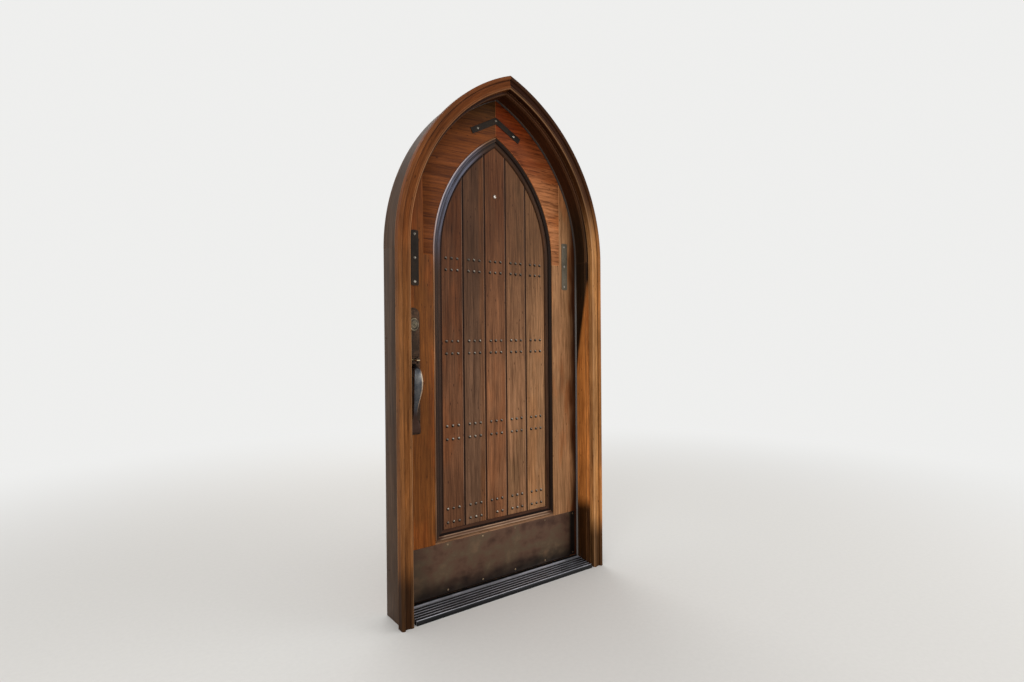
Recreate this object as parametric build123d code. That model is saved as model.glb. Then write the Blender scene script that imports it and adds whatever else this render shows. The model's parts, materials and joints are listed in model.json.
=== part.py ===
from build123d import *
from math import acos, cos, degrees, radians, sin, sqrt, tan
import os

# Arched plank door hung in its own wooden frame, in millimetres.
# X runs to the right as seen from outside, Y runs into the house and Z runs up.
# X = 0 is the middle, Y = 0 the leaf's outer face and Z = 0 the underside of the threshold.

# Leaf and arch: two arcs whose centres lie past the middle, at the springline
leaf_width = 914.4
leaf_thickness = 44.45
leaf_foot = 32.0             # leaf's bottom above the threshold's underside
spring_height = 1368.0       # springline above the leaf's bottom
arc_offset = 272.0           # each arc's centre past the middle
leaf_gap = 3.0               # between the leaf's edge and the frame

# Clearances
housed_fit = 0.2             # round pieces let into wood
slide_fit = 0.3              # round sliding pieces and between soft and hard faces
turn_fit = 0.05              # radial, round turning pieces
overcut = 1.0                # how far a cut runs past the face that it opens
arc_overrun = 4.0            # degrees that an arc runs past the middle before it is cut off there

# Frame
stop_cover = 12.7            # how far the stop covers the leaf's edge
seal_space = 12.0            # between the stop and the leaf's outer face
stop_depth = 69.0            # reveal in front of the seal
jamb_wall = 35.0             # wood behind the leaf's edge
arris_bead = 4.0             # rounded front edge of the reveal
quirk = 1.5                  # small grooves beside beads
quirk_back = 8.5             # reveal's quirk behind the front face
casing_setback = 12.0        # casing's inner edge outside the reveal
casing_width = 50.8
casing_edge = 23.0           # casing's thickness at its inner edge
casing_round = 6.0
casing_flat = 4.0
casing_cove = 18.0
casing_cove_depth = 4.5
casing_cove_middle = 1.1     # middle of the cove's curve in front of its hollow
casing_bead = 16.8           # width of the outer bead
casing_bead_rise = 7.5

# Weather seal
seal_show = 1.1              # how far the seal shows past the reveal
seal_width = 13.0
seal_chamfer = 1.5
kerf_width = 3.0
kerf_depth = 8.0
kerf_inset = 5.5             # from the reveal to the kerf

# Threshold saddle
saddle_front = 106.0         # nose in front of the leaf's face
saddle_nose = 17.0           # height of the nose
saddle_nose_round = 5.0
flute_count = 5
flute_width = 7.0
flute_depth = 2.2
flute_side = 1.1             # slope of a flute's sides
flute_pitch = 15.0
flute_first = 91.0           # first flute's middle in front of the leaf's face
saddle_screw_count = 4
saddle_screw_inset = 62.0    # outermost screw inside the reveal

# Leaf's framing
opening_margin = 37.5        # width of the panel moulding
lip_cover = 27.0             # inner lip behind the planks' margins
lip_bevel = 5.0
ledge_show = 9.8             # bottom rail's ledge above the kick plate
ledge_drop = 7.0             # bevel on the bottom rail's ledge
ledge_run = 9.0
head_joint_drop = 13.0       # level joint between stiles and head blocks, below the springline
head_strip = 108.2           # width of the stile's strip beside the head block
tenon_thickness = 14.8
rail_tenon_length = 45.0
rail_tenon_margin = 30.0     # above and below the rail's tenon
head_tenon_length = 38.0
head_tenon_rise = 65.0       # head tenon's foot above the joint
head_tenon_height = 150.0

# Planks
plank_count = 5
plank_pitch = 107.8
plank_recess = 13.0
plank_thickness = 18.5
plank_play = 2.0             # between the planks' ends and the opening
plank_vee = 3.0
plank_joint = 0.4
tongue_thickness = 6.0
tongue_length = 7.0

# Panel moulding
mould_quirk_width = 2.5
mould_quirk_depth = 4.0      # wood left behind the quirk
mould_top = 12.0             # height of the upper band above the planks
mould_shoulder = 2.0
mould_band = 19.0            # outer edge of the step
mould_step = 6.5             # height of the lower band above the planks
mould_slope = 4.0
mould_toe = 3.25             # height of the inner edge

# Studs, in pairs of rows
stud_radius = 6.0
stud_rise = 4.2
stud_pitch = 27.0
studs_per_row = 3
stud_shank = 1.5
stud_shank_length = 10.0
stud_row_heights = (1131.0, 1084.0, 795.0, 745.0, 452.0, 398.0, 117.0, 62.0)  # above the panel's foot
lost_stud = (2, 7, 0)        # plank, row and place of the stud that has fallen out

# Door viewer
viewer_rise = 259.0          # above the springline
viewer_flange = 8.0
viewer_flange_thickness = 2.0
viewer_tube = 6.0
viewer_bore = 4.8
viewer_depth = 16.0
lens_thickness = 3.0
lens_recess = 1.0
eyepiece_flange = 10.0
eyepiece_thickness = 2.5
eyepiece_wall = 1.2
eyepiece_length = 11.0

# Kick plate
kick_margin = 25.4           # beside the kick plate
kick_height = 203.2
kick_thickness = 1.6
kick_lift = 5.0              # above the leaf's bottom
kick_corner = 3.0
kick_screw_margin = 11.0
kick_screw_columns = 6

# Iron plates
iron_thickness = 3.0
mend_length = 214.0
mend_width = 33.0
mend_end_round = 5.0
mend_screw_ends = 15.0
left_mend_inset = 70.2       # plate's middle in from the leaf's edge
left_mend_clear = 86.0       # plate's foot above the outside plate's top
right_mend_inset = 77.2
right_mend_drop = 111.0      # plate's foot below the head joint
chevron_drop = 99.1          # middle of the band at the elbow, below the leaf's apex
chevron_reach = 122.0
chevron_slope = 28.0
chevron_width = 25.0
chevron_screw_reach = 92.0

# Screws: head radius, shank radius, length, rise of the head above its seat
kick_screw = (4.0, 1.6, 16.0, 0.8)
iron_screw = (5.0, 2.2, 24.0, 1.4)
wood_screw = (4.6, 2.2, 24.0, 0.0)

# Hinges
hinge_bottom = 270.0         # lowest hinge's middle above the leaf's bottom
hinge_top_drop = 62.0        # highest hinge's middle below the springline
hinge_length = 114.3
hinge_wing = 38.0
hinge_plate = 3.4
knuckle_count = 5
barrel_radius = 7.15
barrel_standoff = 0.45       # barrel clear of the faces it stands beside
knuckle_gap = 0.3
pin_radius = 3.5
pin_head_radius = 6.0
pin_head_height = 3.5
pin_head_chamfer = 1.75
hinge_screw_rows = (-43.0, -17.0, 17.0, 43.0)
hinge_screw_near = 12.0
hinge_screw_far = 27.0

# Lock and latch
lock_height = 1080.0         # lock axis above the leaf's bottom
latch_drop = 139.7           # from the lock axis down to the latch axis
backset = 60.3               # from the leaf's edge to both axes
lock_bore = 22.0
latch_bore = 19.0
case_radius = 12.5
case_past_hub = 20.0
face_length = 57.2
face_width = 25.4
face_thickness = 2.4
face_screw_spacing = 41.4
bolt_width = 13.0
bolt_height = 18.0
bolt_length = 50.0
deadbolt_throw = 25.4
latch_throw = 12.7
latch_bevel = 8.5
latch_nose = 1.5             # square edge left at the bevel's tip
hub_wall = 7.0               # solid case between the bolt's channel and the hub
hub_hole = 4.6
spindle_radius = 4.0
spindle_end = 24.0           # depth that both spindles reach, from the outer face
strike_length = 70.0
strike_width = 28.6
strike_lip = 10.0
strike_lip_height = 32.0
strike_clear = 1.5           # round the bolt in the strike
pocket_spare = 2.5           # behind the thrown bolt
strike_screw_spacing = 54.0

# Outside plate, cylinder, thumb-piece and grip
plate_width = 54.0
plate_above_lock = 65.0
plate_length = 490.0
plate_base = 3.0
plate_panel = 8.0            # front of the raised panel
plate_panel_inset = 4.0
plate_panel_foot = 15.0      # panel's foot above the latch axis
plate_corner = 6.0
collar_half_width = 20.0
collar_half_height = 27.0
collar_rise = 5.0
collar_chamfer = 1.7
cylinder_radius = 14.0
cylinder_reach = 8.0
plug_radius = 6.35
plug_proud = 0.6
keyway_width = 2.0
keyway_height = 8.0
keyway_depth = 14.0
tailpiece_width = 2.0
tailpiece_height = 6.0
tailpiece_end = 20.0
thumb_rise = 3.7             # thumb-piece's pivot above the latch axis
thumb_slot_width = 20.0
thumb_slot_height = 13.0
thumb_boss_width = 33.0
thumb_boss_below = 12.0
thumb_trunnion = 2.0
thumb_hub = 3.4
thumb_neck = 3.0             # neck in front of the plate
thumb_pad_width = 21.0
thumb_pad_reach = 36.0
thumb_pad_thickness = 3.0
thumb_tail_width = 8.0
thumb_tail_end = 7.0
grip_root_drop = 22.0        # grip's root below the latch axis
grip_into_foot = 14.7        # bow's end below the top of its foot
grip_foot_length = 62.0
grip_foot_inset = 2.0
grip_foot_rise = 7.0
grip_foot_neck = 20.0

# Inside plate, knob and turn
inside_plate_thickness = 5.0
inside_plate_margin = 52.0
inside_plate_chamfer = 1.25
turn_shank = 5.0
turn_gap = 1.0               # between the inside plate and the turn
turn_chamfer = 1.8
turn_length = 44.0
turn_width = 11.0
turn_rise = 20.0
knob_shank = 9.0
knob_radius = 27.0
knob_neck = 20.0
knob_depth = 38.0
knob_base = 12.0             # radius where the knob meets its neck
knob_face = 16.2             # radius of the knob's face
knob_crown = 3.0             # rise of the face
knob_sink = 4.0              # how far the neck runs into the knob
through_bolt = 2.5
through_bolt_head = 4.5
through_boss = 5.0
through_boss_length = 8.0
through_bolt_tip = 3.0       # behind the leaf's outer face
through_hole_end = 1.0       # behind the leaf's outer face
through_below_lock = 40.0
through_below_latch = 34.0

# Bottom sweep
sweep_width = 24.0
sweep_base = 1.0
sweep_fin = 1.6

# Holes through the jambs, for fixing the frame in a wall
fixing_radius = 3.2
fixing_head = 6.5
fixing_lowest = 180.0
fixing_spacing = 440.0
fixing_count = 3

# Worked out from the sizes above
leaf_half = leaf_width / 2
rebate_half = leaf_half + leaf_gap
reveal_half = leaf_half - stop_cover
jamb_half = rebate_half + jamb_wall
stop_back = -seal_space
frame_front = stop_back - stop_depth
saddle_top = leaf_foot - leaf_gap
spring_z = leaf_foot + spring_height
panel_half = plank_count * plank_pitch / 2
opening_half = panel_half + opening_margin
lip_half = opening_half - lip_cover
kick_width = leaf_width - 2 * kick_margin
panel_foot = leaf_foot + kick_lift + kick_height + ledge_show
plank_back = plank_recess + plank_thickness
middle_depth = leaf_thickness / 2
head_joint = spring_z - head_joint_drop
head_shoulder = leaf_half - head_strip
viewer_z = spring_z + viewer_rise
hinge_top = spring_z - hinge_top_drop
hinge_places = {
    "bottom": leaf_foot + hinge_bottom,
    "middle": (leaf_foot + hinge_bottom + hinge_top) / 2,
    "top": hinge_top,
}
hub_x = backset - leaf_half
lock_z = leaf_foot + lock_height
latch_z = lock_z - latch_drop
hinge_x = leaf_half + leaf_gap / 2
hinge_y = leaf_thickness + barrel_standoff + barrel_radius
inside_front = leaf_thickness + inside_plate_thickness


def arch_rise(half):
    """Height of the apex above the springline for an arch of this half width."""
    return sqrt((half + arc_offset) ** 2 - arc_offset**2)


crown = spring_z + arch_rise(jamb_half + casing_width)
leaf_apex = spring_z + arch_rise(leaf_half)


def block(x0, x1, y0, y1, z0, z1):
    centre = ((x0 + x1) / 2, (y0 + y1) / 2, (z0 + z1) / 2)
    return Pos(*centre) * Box(abs(x1 - x0), abs(y1 - y0), abs(z1 - z0))


def bar(start, direction, radius, length):
    """A round bar that starts at a point and runs along a direction."""
    return Plane(origin=start, z_dir=direction) * extrude(Circle(radius), amount=length)


def outline(*parts):
    """A face inside lines and arcs that meet end to end."""
    edges = [edge for part in parts for edge in part.edges()]
    return make_face(edges)


def slab(face, front, back):
    """A face drawn in X and Z, given depth along Y from front to back."""
    plane = Plane(origin=(0, back, 0), x_dir=(1, 0, 0), z_dir=(0, -1, 0))
    return plane * extrude(face, amount=back - front, dir=(0, 0, 1))


def arch_face(half, foot):
    """The door's outline at a half width: two legs from the foot, then the two arcs."""
    radius = half + arc_offset
    middle = acos(arc_offset / radius) / 2
    haunch = radius * cos(middle) - arc_offset
    haunch_z = spring_z + radius * sin(middle)
    apex = (0, spring_z + arch_rise(half))
    legs = Polyline((-half, spring_z), (-half, foot), (half, foot), (half, spring_z))
    right = ThreePointArc((half, spring_z), (haunch, haunch_z), apex)
    left = ThreePointArc(apex, (-haunch, haunch_z), (-half, spring_z))
    return outline(legs, right, left)


def leg_run(section, foot, top):
    """A section drawn in half width and depth, carried up a leg on the right."""
    return Pos(0, 0, foot) * extrude(section, amount=top - foot, dir=(0, 0, 1))


def arc_run(section):
    """The same section carried round the right arc and cut off upright in the middle."""
    widest = section.bounding_box().max.X
    turn = degrees(acos(arc_offset / (widest + arc_offset))) + arc_overrun
    centre = Axis((-arc_offset, 0, spring_z), (0, -1, 0))
    ring = revolve(Pos(0, 0, spring_z) * section, axis=centre, revolution_arc=turn)
    return ring & block(0, 2 * widest, -widest, widest, spring_z, crown)


def other_side(piece):
    return mirror(piece, about=Plane.YZ)


def dome(radius, rise):
    """A low round head standing on the XY plane."""
    ball = (radius**2 + rise**2) / (2 * rise)
    reach = radius / 2
    arc = ThreePointArc((radius, 0), (reach, rise - ball + sqrt(ball**2 - reach**2)), (0, rise))
    profile = outline(Polyline((0, rise), (0, 0), (radius, 0)), arc)
    return revolve(Plane.XZ * profile, axis=Axis.Z)


def screw(size, grow=0.0):
    """A countersunk screw with its seat at Z = 0 and its shank going down."""
    head, shank, length, rise = size
    head = head + grow
    shank = shank + grow
    sink = head - shank
    tip = -length - grow
    profile = Polyline((0, 0), (head, 0), (shank, -sink), (shank, tip), (0, tip), close=True)
    body = revolve(Plane.XZ * make_face(profile.edges()), axis=Axis.Z)
    if rise and not grow:
        body = body + dome(head, rise)
    return body


def put(piece, at, outward):
    return Plane(origin=at, z_dir=outward) * piece


# Where every screw goes: its size, its seat and the way its head faces
outside = (0, -1, 0)
inside = (0, 1, 0)
to_right = (1, 0, 0)
to_left = (-1, 0, 0)


def hinge_screw_places(x, outward):
    places = []
    for z in hinge_places.values():
        for count, row in enumerate(hinge_screw_rows):
            inset = hinge_screw_near if count % 2 else hinge_screw_far
            places.append(((x, leaf_thickness - inset, z + row), outward))
    return places


jamb_hinge_places = hinge_screw_places(rebate_half, to_left)
leaf_hinge_places = hinge_screw_places(leaf_half, to_right)


def pair_places(x, z, spacing, outward):
    return [((x, middle_depth, z + end * spacing / 2), outward) for end in (-1, 1)]


strike_places = pair_places(-rebate_half, lock_z, strike_screw_spacing, to_right)
strike_places += pair_places(-rebate_half, latch_z, strike_screw_spacing, to_right)
face_places = pair_places(-leaf_half, lock_z, face_screw_spacing, to_left)
face_places += pair_places(-leaf_half, latch_z, face_screw_spacing, to_left)


def even_places(count, half):
    return [half * (2 * n / (count - 1) - 1) for n in range(count)]


saddle_columns = even_places(saddle_screw_count, reveal_half - saddle_screw_inset)
saddle_places = [((x, middle_depth, saddle_top), (0, 0, 1)) for x in saddle_columns]
kick_low = leaf_foot + kick_lift
kick_rows = (kick_low + kick_screw_margin, kick_low + kick_height - kick_screw_margin)
kick_columns = even_places(kick_screw_columns, kick_width / 2 - kick_screw_margin)
kick_places = [((x, -kick_thickness, z), outside) for z in kick_rows for x in kick_columns]


def mend_places(centre, foot):
    low = foot + mend_screw_ends
    high = foot + mend_length - mend_screw_ends
    return [((centre, -iron_thickness, z), outside) for z in (low, (low + high) / 2, high)]


left_mend = (left_mend_inset - leaf_half, lock_z + plate_above_lock + left_mend_clear)
right_mend = (leaf_half - right_mend_inset, head_joint - right_mend_drop)
chevron_z = leaf_apex - chevron_drop
chevron_fall = tan(radians(chevron_slope))
left_mend_places = mend_places(*left_mend)
right_mend_places = mend_places(*right_mend)
chevron_places = [
    ((reach, -iron_thickness, chevron_z - abs(reach) * chevron_fall), outside)
    for reach in (-chevron_screw_reach, 0, chevron_screw_reach)
]
iron_places = left_mend_places + right_mend_places + chevron_places


def screws(size, places):
    return [put(screw(size), at, outward) for at, outward in places]


def seats(size, places):
    return [put(screw(size, slide_fit / 2), at, outward) for at, outward in places]


# Frame


def jamb_section():
    kerf = reveal_half + kerf_inset
    bead_back = frame_front + arris_bead
    groove = frame_front + quirk_back
    arc = ThreePointArc(
        (reveal_half + arris_bead, frame_front),
        (reveal_half + arris_bead * (1 - sin(radians(45))), bead_back - arris_bead * sin(radians(45))),
        (reveal_half, bead_back),
    )
    rest = Polyline(
        (reveal_half, bead_back),
        (reveal_half, groove),
        (reveal_half + quirk, groove),
        (reveal_half + quirk, groove + quirk),
        (reveal_half, groove + quirk),
        (reveal_half, stop_back),
        (kerf, stop_back),
        (kerf, stop_back - kerf_depth),
        (kerf + kerf_width, stop_back - kerf_depth),
        (kerf + kerf_width, stop_back),
        (rebate_half, stop_back),
        (rebate_half, leaf_thickness),
        (jamb_half, leaf_thickness),
        (jamb_half, frame_front),
        (reveal_half + arris_bead, frame_front),
    )
    return outline(arc, rest)


def casing_section():
    inner = reveal_half + casing_setback
    outer = inner + casing_width
    edge = frame_front - casing_edge
    face = edge - casing_round
    flat_end = inner + casing_round + casing_flat
    cove_end = flat_end + casing_cove
    hollow = face + casing_cove_depth
    bead = outer - casing_bead
    ovolo = ThreePointArc(
        (inner, edge),
        (inner + casing_round * (1 - cos(radians(45))), edge - casing_round * sin(radians(45))),
        (inner + casing_round, face),
    )
    flat = Line((inner + casing_round, face), (flat_end, face))
    cove = ThreePointArc(
        (flat_end, face), ((flat_end + cove_end) / 2, hollow - casing_cove_middle), (cove_end, hollow)
    )
    step = Polyline((cove_end, hollow), (bead, hollow), (bead, hollow - quirk))
    lift = hollow - quirk
    nose = ThreePointArc((bead, lift), ((bead + outer) / 2, lift - casing_bead_rise), (outer, lift))
    back = Polyline((outer, lift), (outer, frame_front), (inner, frame_front), (inner, edge))
    return outline(ovolo, flat, cove, step, nose, back)


def seal_section():
    inner = reveal_half - seal_show
    outer = inner + seal_width
    leaf_side = -slide_fit
    barb = reveal_half + kerf_inset + housed_fit
    barb_end = barb + kerf_width - 2 * housed_fit
    points = Polyline(
        (inner, stop_back),
        (inner, leaf_side - seal_chamfer),
        (inner + seal_chamfer, leaf_side),
        (outer - seal_chamfer, leaf_side),
        (outer, leaf_side - seal_chamfer),
        (outer, stop_back),
        (barb_end, stop_back),
        (barb_end, stop_back - kerf_depth + housed_fit),
        (barb, stop_back - kerf_depth + housed_fit),
        (barb, stop_back),
        close=True,
    )
    return make_face(points.edges())


def fixing_holes():
    """Countersunk clearance holes through both jambs, behind the closed leaf."""
    cuts = []
    for count in range(fixing_count):
        z = fixing_lowest + count * fixing_spacing
        for side in (-1, 1):
            start = (side * rebate_half, middle_depth, z)
            cuts.append(bar(start, (side, 0, 0), fixing_radius, jamb_wall))
            sink = fixing_head - fixing_radius
            cone = Pos(0, 0, sink / 2) * Cone(fixing_head, fixing_radius, sink)
            cuts.append(Plane(origin=start, z_dir=(side, 0, 0)) * cone)
    return cuts


def strike_pocket(z, throw):
    """The hole that the thrown bolt enters, through the strike and into the jamb."""
    half_width = bolt_width / 2 + strike_clear
    half_height = bolt_height / 2 + strike_clear
    depth = throw - leaf_gap + pocket_spare
    return block(
        -rebate_half - depth,
        -rebate_half,
        middle_depth - half_width,
        middle_depth + half_width,
        z - half_height,
        z + half_height,
    )


def strike_plate(z, throw, lipped):
    """A flush plate. The latch's has a lip that leads the bolt in."""
    near = middle_depth - strike_width / 2
    far = middle_depth + strike_width / 2
    skin = -rebate_half - face_thickness
    plate = block(skin, -rebate_half, near, far, z - strike_length / 2, z + strike_length / 2)
    reach = leaf_thickness if not lipped else far + strike_lip
    half = strike_length / 2 if not lipped else strike_lip_height / 2
    if lipped:
        plate += block(skin, -rebate_half, far, reach, z - half, z + half)
    plate -= strike_pocket(z, throw)
    own = [place for place in strike_places if abs(place[0][2] - z) < strike_length]
    return plate - seats(wood_screw, own)


def hinge_mortise(x0, x1, z):
    half = hinge_length / 2 + housed_fit
    near = leaf_thickness - hinge_wing - housed_fit
    return block(x0, x1, near, leaf_thickness + overcut, z - half, z + half)


def jamb_leg():
    return leg_run(jamb_section(), 0, spring_z)


def left_jamb():
    leg = other_side(jamb_leg())
    near = middle_depth - strike_width / 2 - housed_fit
    far = middle_depth + strike_width / 2 + housed_fit
    cuts = [strike_pocket(lock_z, deadbolt_throw), strike_pocket(latch_z, latch_throw)]
    for z, reach, half in (
        (lock_z, far, strike_length / 2 + housed_fit),
        (latch_z, far, strike_length / 2 + housed_fit),
        (latch_z, leaf_thickness + overcut, strike_lip_height / 2 + housed_fit),
    ):
        skin = -rebate_half - face_thickness
        cuts.append(block(skin, -rebate_half + overcut, near, reach, z - half, z + half))
    return leg - cuts - seats(wood_screw, strike_places) - fixing_holes()


def right_jamb():
    cuts = []
    for z in hinge_places.values():
        cuts.append(hinge_mortise(rebate_half - overcut, rebate_half + hinge_plate, z))
    return jamb_leg() - cuts - seats(wood_screw, jamb_hinge_places) - fixing_holes()


def saddle_slope(y):
    """Height of the sloping top at a depth."""
    rise = saddle_top - saddle_nose
    run = saddle_front - saddle_nose_round - seal_space
    return saddle_top - rise * (stop_back - y) / run


def threshold_saddle():
    """Sloping fluted saddle, narrow between the stops and wider under the leaf."""
    nose = -saddle_front + saddle_nose_round
    points = [(-saddle_front, 0), (-saddle_front, saddle_nose - saddle_nose_round), (nose, saddle_nose)]
    for count in range(flute_count):
        middle = -flute_first + count * flute_pitch
        near = middle - flute_width / 2
        far = middle + flute_width / 2
        floor = saddle_slope(middle) - flute_depth
        points += [(near, saddle_slope(near)), (near + flute_side, floor)]
        points += [(far - flute_side, floor), (far, saddle_slope(far))]
    points += [(stop_back, saddle_top), (leaf_thickness, saddle_top), (leaf_thickness, 0)]
    section = make_face(Polyline(*points, close=True).edges())
    start = Plane(origin=(-rebate_half, 0, 0), x_dir=(0, 1, 0), z_dir=(1, 0, 0))
    body = start * extrude(section, amount=2 * rebate_half, dir=(0, 0, 1))
    for side in (-1, 1):
        past = side * (rebate_half + overcut)
        top = saddle_top + overcut
        front = -saddle_front - overcut
        back = leaf_thickness + overcut
        body -= block(side * (reveal_half - housed_fit), past, front, stop_back + housed_fit, -overcut, top)
        body -= block(side * (rebate_half - housed_fit), past, stop_back, back, -overcut, top)
    return body - seats(wood_screw, saddle_places)


def weather_seal():
    section = seal_section()
    return leg_run(section, saddle_top + slide_fit, spring_z) + arc_run(section)


def hinge_leaf(z, plate_near, plate_far, own, places):
    """A wing let in flush, with its share of the knuckles."""
    half = hinge_length / 2
    step = hinge_length / knuckle_count
    wing = block(plate_near, plate_far, leaf_thickness - hinge_wing, leaf_thickness, z - half, z + half)
    for knuckle in own:
        low = z - half + knuckle * step + (knuckle_gap / 2 if knuckle > 0 else 0)
        high = z - half + (knuckle + 1) * step - (knuckle_gap / 2 if knuckle < knuckle_count - 1 else 0)
        wing += block(plate_near, plate_far, leaf_thickness, hinge_y, low, high)
        wing += bar((hinge_x, hinge_y, low), (0, 0, 1), barrel_radius, high - low)
    start = (hinge_x, hinge_y, z - half - overcut)
    wing -= bar(start, (0, 0, 1), pin_radius + turn_fit, hinge_length + 2 * overcut)
    return wing - seats(wood_screw, [place for place in places if abs(place[0][2] - z) < half])


def hinge_pin(z):
    half = hinge_length / 2
    pin = bar((hinge_x, hinge_y, z - half), (0, 0, 1), pin_radius, hinge_length)
    head = extrude(Circle(pin_head_radius), amount=pin_head_height)
    head = chamfer(head.edges().group_by(Axis.Z)[-1], pin_head_chamfer)
    pin += put(head, (hinge_x, hinge_y, z + half), (0, 0, 1))
    return pin + put(head, (hinge_x, hinge_y, z - half), (0, 0, -1))


# Leaf


def leaf_blank():
    """The whole framing as one board, before it is parted into its members."""
    lip_foot = panel_foot + lip_cover
    board = slab(arch_face(leaf_half, leaf_foot), 0, leaf_thickness)
    board -= slab(arch_face(opening_half, panel_foot), -overcut, plank_back)
    board -= slab(arch_face(lip_half, lip_foot), plank_back - overcut, leaf_thickness + overcut)
    bevel = Polyline(
        (lip_half, leaf_thickness),
        (lip_half + lip_bevel, leaf_thickness),
        (lip_half, leaf_thickness - lip_bevel),
        close=True,
    )
    edge = make_face(bevel.edges())
    side = leg_run(edge, lip_foot, spring_z) + arc_run(edge)
    foot = Plane(origin=(0, 0, lip_foot + lip_half), x_dir=(0, 0, -1), z_dir=(1, 0, 0))
    low = Pos(-lip_half, 0, 0) * (foot * extrude(edge, amount=2 * lip_half, dir=(0, 0, 1)))
    return board - [side, other_side(side), low]


def part_of_leaf(board, points):
    face = make_face(Polyline(*points, close=True).edges())
    return board & slab(face, -overcut, leaf_thickness + overcut)


def tenon(inner, length, low, high, grow=0.0):
    """A tenon, or its mortise when grown, on the left side of a member whose shoulder is at inner."""
    half = tenon_thickness / 2 + grow
    return block(
        -inner - length - grow, -inner, middle_depth - half, middle_depth + half, low - grow, high + grow
    )


rail_tenon = (opening_half, rail_tenon_length, leaf_foot + rail_tenon_margin, panel_foot - rail_tenon_margin)
head_tenon = (
    head_shoulder,
    head_tenon_length,
    head_joint + head_tenon_rise,
    head_joint + head_tenon_rise + head_tenon_height,
)


def plain_left_stile(board):
    lip_foot = panel_foot + lip_cover
    past = leaf_half + overcut
    stile = part_of_leaf(
        board,
        [
            (-past, leaf_foot - overcut),
            (-opening_half, leaf_foot - overcut),
            (-opening_half, lip_foot),
            (-lip_half, lip_foot),
            (-lip_half, head_joint),
            (-head_shoulder, head_joint),
            (-head_shoulder, crown),
            (-past, crown),
        ],
    )
    return stile - [tenon(*rail_tenon, housed_fit), tenon(*head_tenon, housed_fit)]


def leaf_faceplate(z):
    half = face_length / 2
    return block(
        -leaf_half,
        -leaf_half + face_thickness,
        middle_depth - face_width / 2,
        middle_depth + face_width / 2,
        z - half,
        z + half,
    )


def through_bolt_heights():
    return (lock_z - through_below_lock, latch_z - through_below_latch)


def lock_cuts():
    """Bores for both cases, both cross holes, the faceplate mortises and the through bolts."""
    cuts = []
    for z, radius in ((lock_z, lock_bore), (latch_z, latch_bore)):
        reach = backset + case_past_hub + housed_fit
        cuts.append(bar((-leaf_half, middle_depth, z), to_right, case_radius + housed_fit, reach))
        cuts.append(bar((hub_x, -overcut, z), inside, radius, leaf_thickness + 2 * overcut))
        half = face_length / 2 + housed_fit
        width = face_width / 2 + housed_fit
        cuts.append(
            block(
                -leaf_half - overcut,
                -leaf_half + face_thickness,
                middle_depth - width,
                middle_depth + width,
                z - half,
                z + half,
            )
        )
    for z in through_bolt_heights():
        cuts.append(bar((hub_x, 0, z), inside, through_bolt + housed_fit, leaf_thickness))
        cuts.append(bar((hub_x, 0, z), inside, through_boss + housed_fit, through_boss_length + housed_fit))
    return cuts


def left_stile(plain):
    cuts = lock_cuts() + seats(wood_screw, face_places) + seats(iron_screw, left_mend_places)
    return plain - cuts - seats(kick_screw, kick_places)


def right_stile(plain):
    cuts = seats(wood_screw, leaf_hinge_places) + seats(iron_screw, right_mend_places)
    for z in hinge_places.values():
        cuts.append(hinge_mortise(leaf_half - hinge_plate, leaf_half + overcut, z))
    return other_side(plain) - cuts - seats(kick_screw, kick_places)


def left_head(board):
    head = part_of_leaf(
        board, [(-head_shoulder, head_joint), (0, head_joint), (0, crown), (-head_shoulder, crown)]
    )
    return head + tenon(*head_tenon)


def bottom_rail(board):
    """Deep rail with a bevelled ledge and a tenon at each end."""
    lip_foot = panel_foot + lip_cover
    rail = part_of_leaf(
        board,
        [(-opening_half, 0), (opening_half, 0), (opening_half, lip_foot), (-opening_half, lip_foot)],
    )
    low = panel_foot - ledge_drop - overcut * ledge_drop / ledge_run
    high = panel_foot + overcut
    slope = [(-overcut, low), (ledge_run, panel_foot), (ledge_run, high), (-overcut, high)]
    bevel = Polyline(*slope, close=True)
    start = Plane(origin=(-opening_half, 0, 0), x_dir=(0, 1, 0), z_dir=(1, 0, 0))
    rail -= start * extrude(make_face(bevel.edges()), amount=2 * opening_half, dir=(0, 0, 1))
    left = tenon(*rail_tenon)
    return rail + left + other_side(left) - seats(kick_screw, kick_places)


def plank_section(left, right, first, last):
    """Outline of one plank seen from above, V-jointed, tongued on the right and grooved on the left."""
    gap = plank_joint / 2
    middle = plank_recess + plank_thickness / 2
    tongue = tongue_thickness / 2
    groove = tongue + housed_fit
    vee = plank_vee
    if first:
        points = [(left, plank_back), (left, plank_recess)]
    else:
        x = left + gap
        deep = left + gap + tongue_length + 2 * plank_joint
        points = [
            (x + vee, plank_back),
            (x, plank_back - vee),
            (x, middle + groove),
            (deep, middle + groove),
            (deep, middle - groove),
            (x, middle - groove),
            (x, plank_recess + vee),
            (x + vee, plank_recess),
        ]
    if last:
        points += [(right, plank_recess), (right, plank_back)]
    else:
        x = right - gap
        points += [
            (x - vee, plank_recess),
            (x, plank_recess + vee),
            (x, middle - tongue),
            (x + tongue_length, middle - tongue),
            (x + tongue_length, middle + tongue),
            (x, middle + tongue),
            (x, plank_back - vee),
            (x - vee, plank_back),
        ]
    return make_face(Polyline(*points, close=True).edges())


def stud_places():
    """Middle of every stud: three to a row on each plank, apart from the one that has fallen out."""
    places = []
    for plank in range(plank_count):
        centre = (plank + 0.5) * plank_pitch - panel_half
        for row, height in enumerate(stud_row_heights):
            for place in range(studs_per_row):
                if (plank, row, place) != lost_stud:
                    x = centre + (place - (studs_per_row - 1) / 2) * stud_pitch
                    places.append((x, plank_recess, panel_foot + height))
    return places


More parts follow.
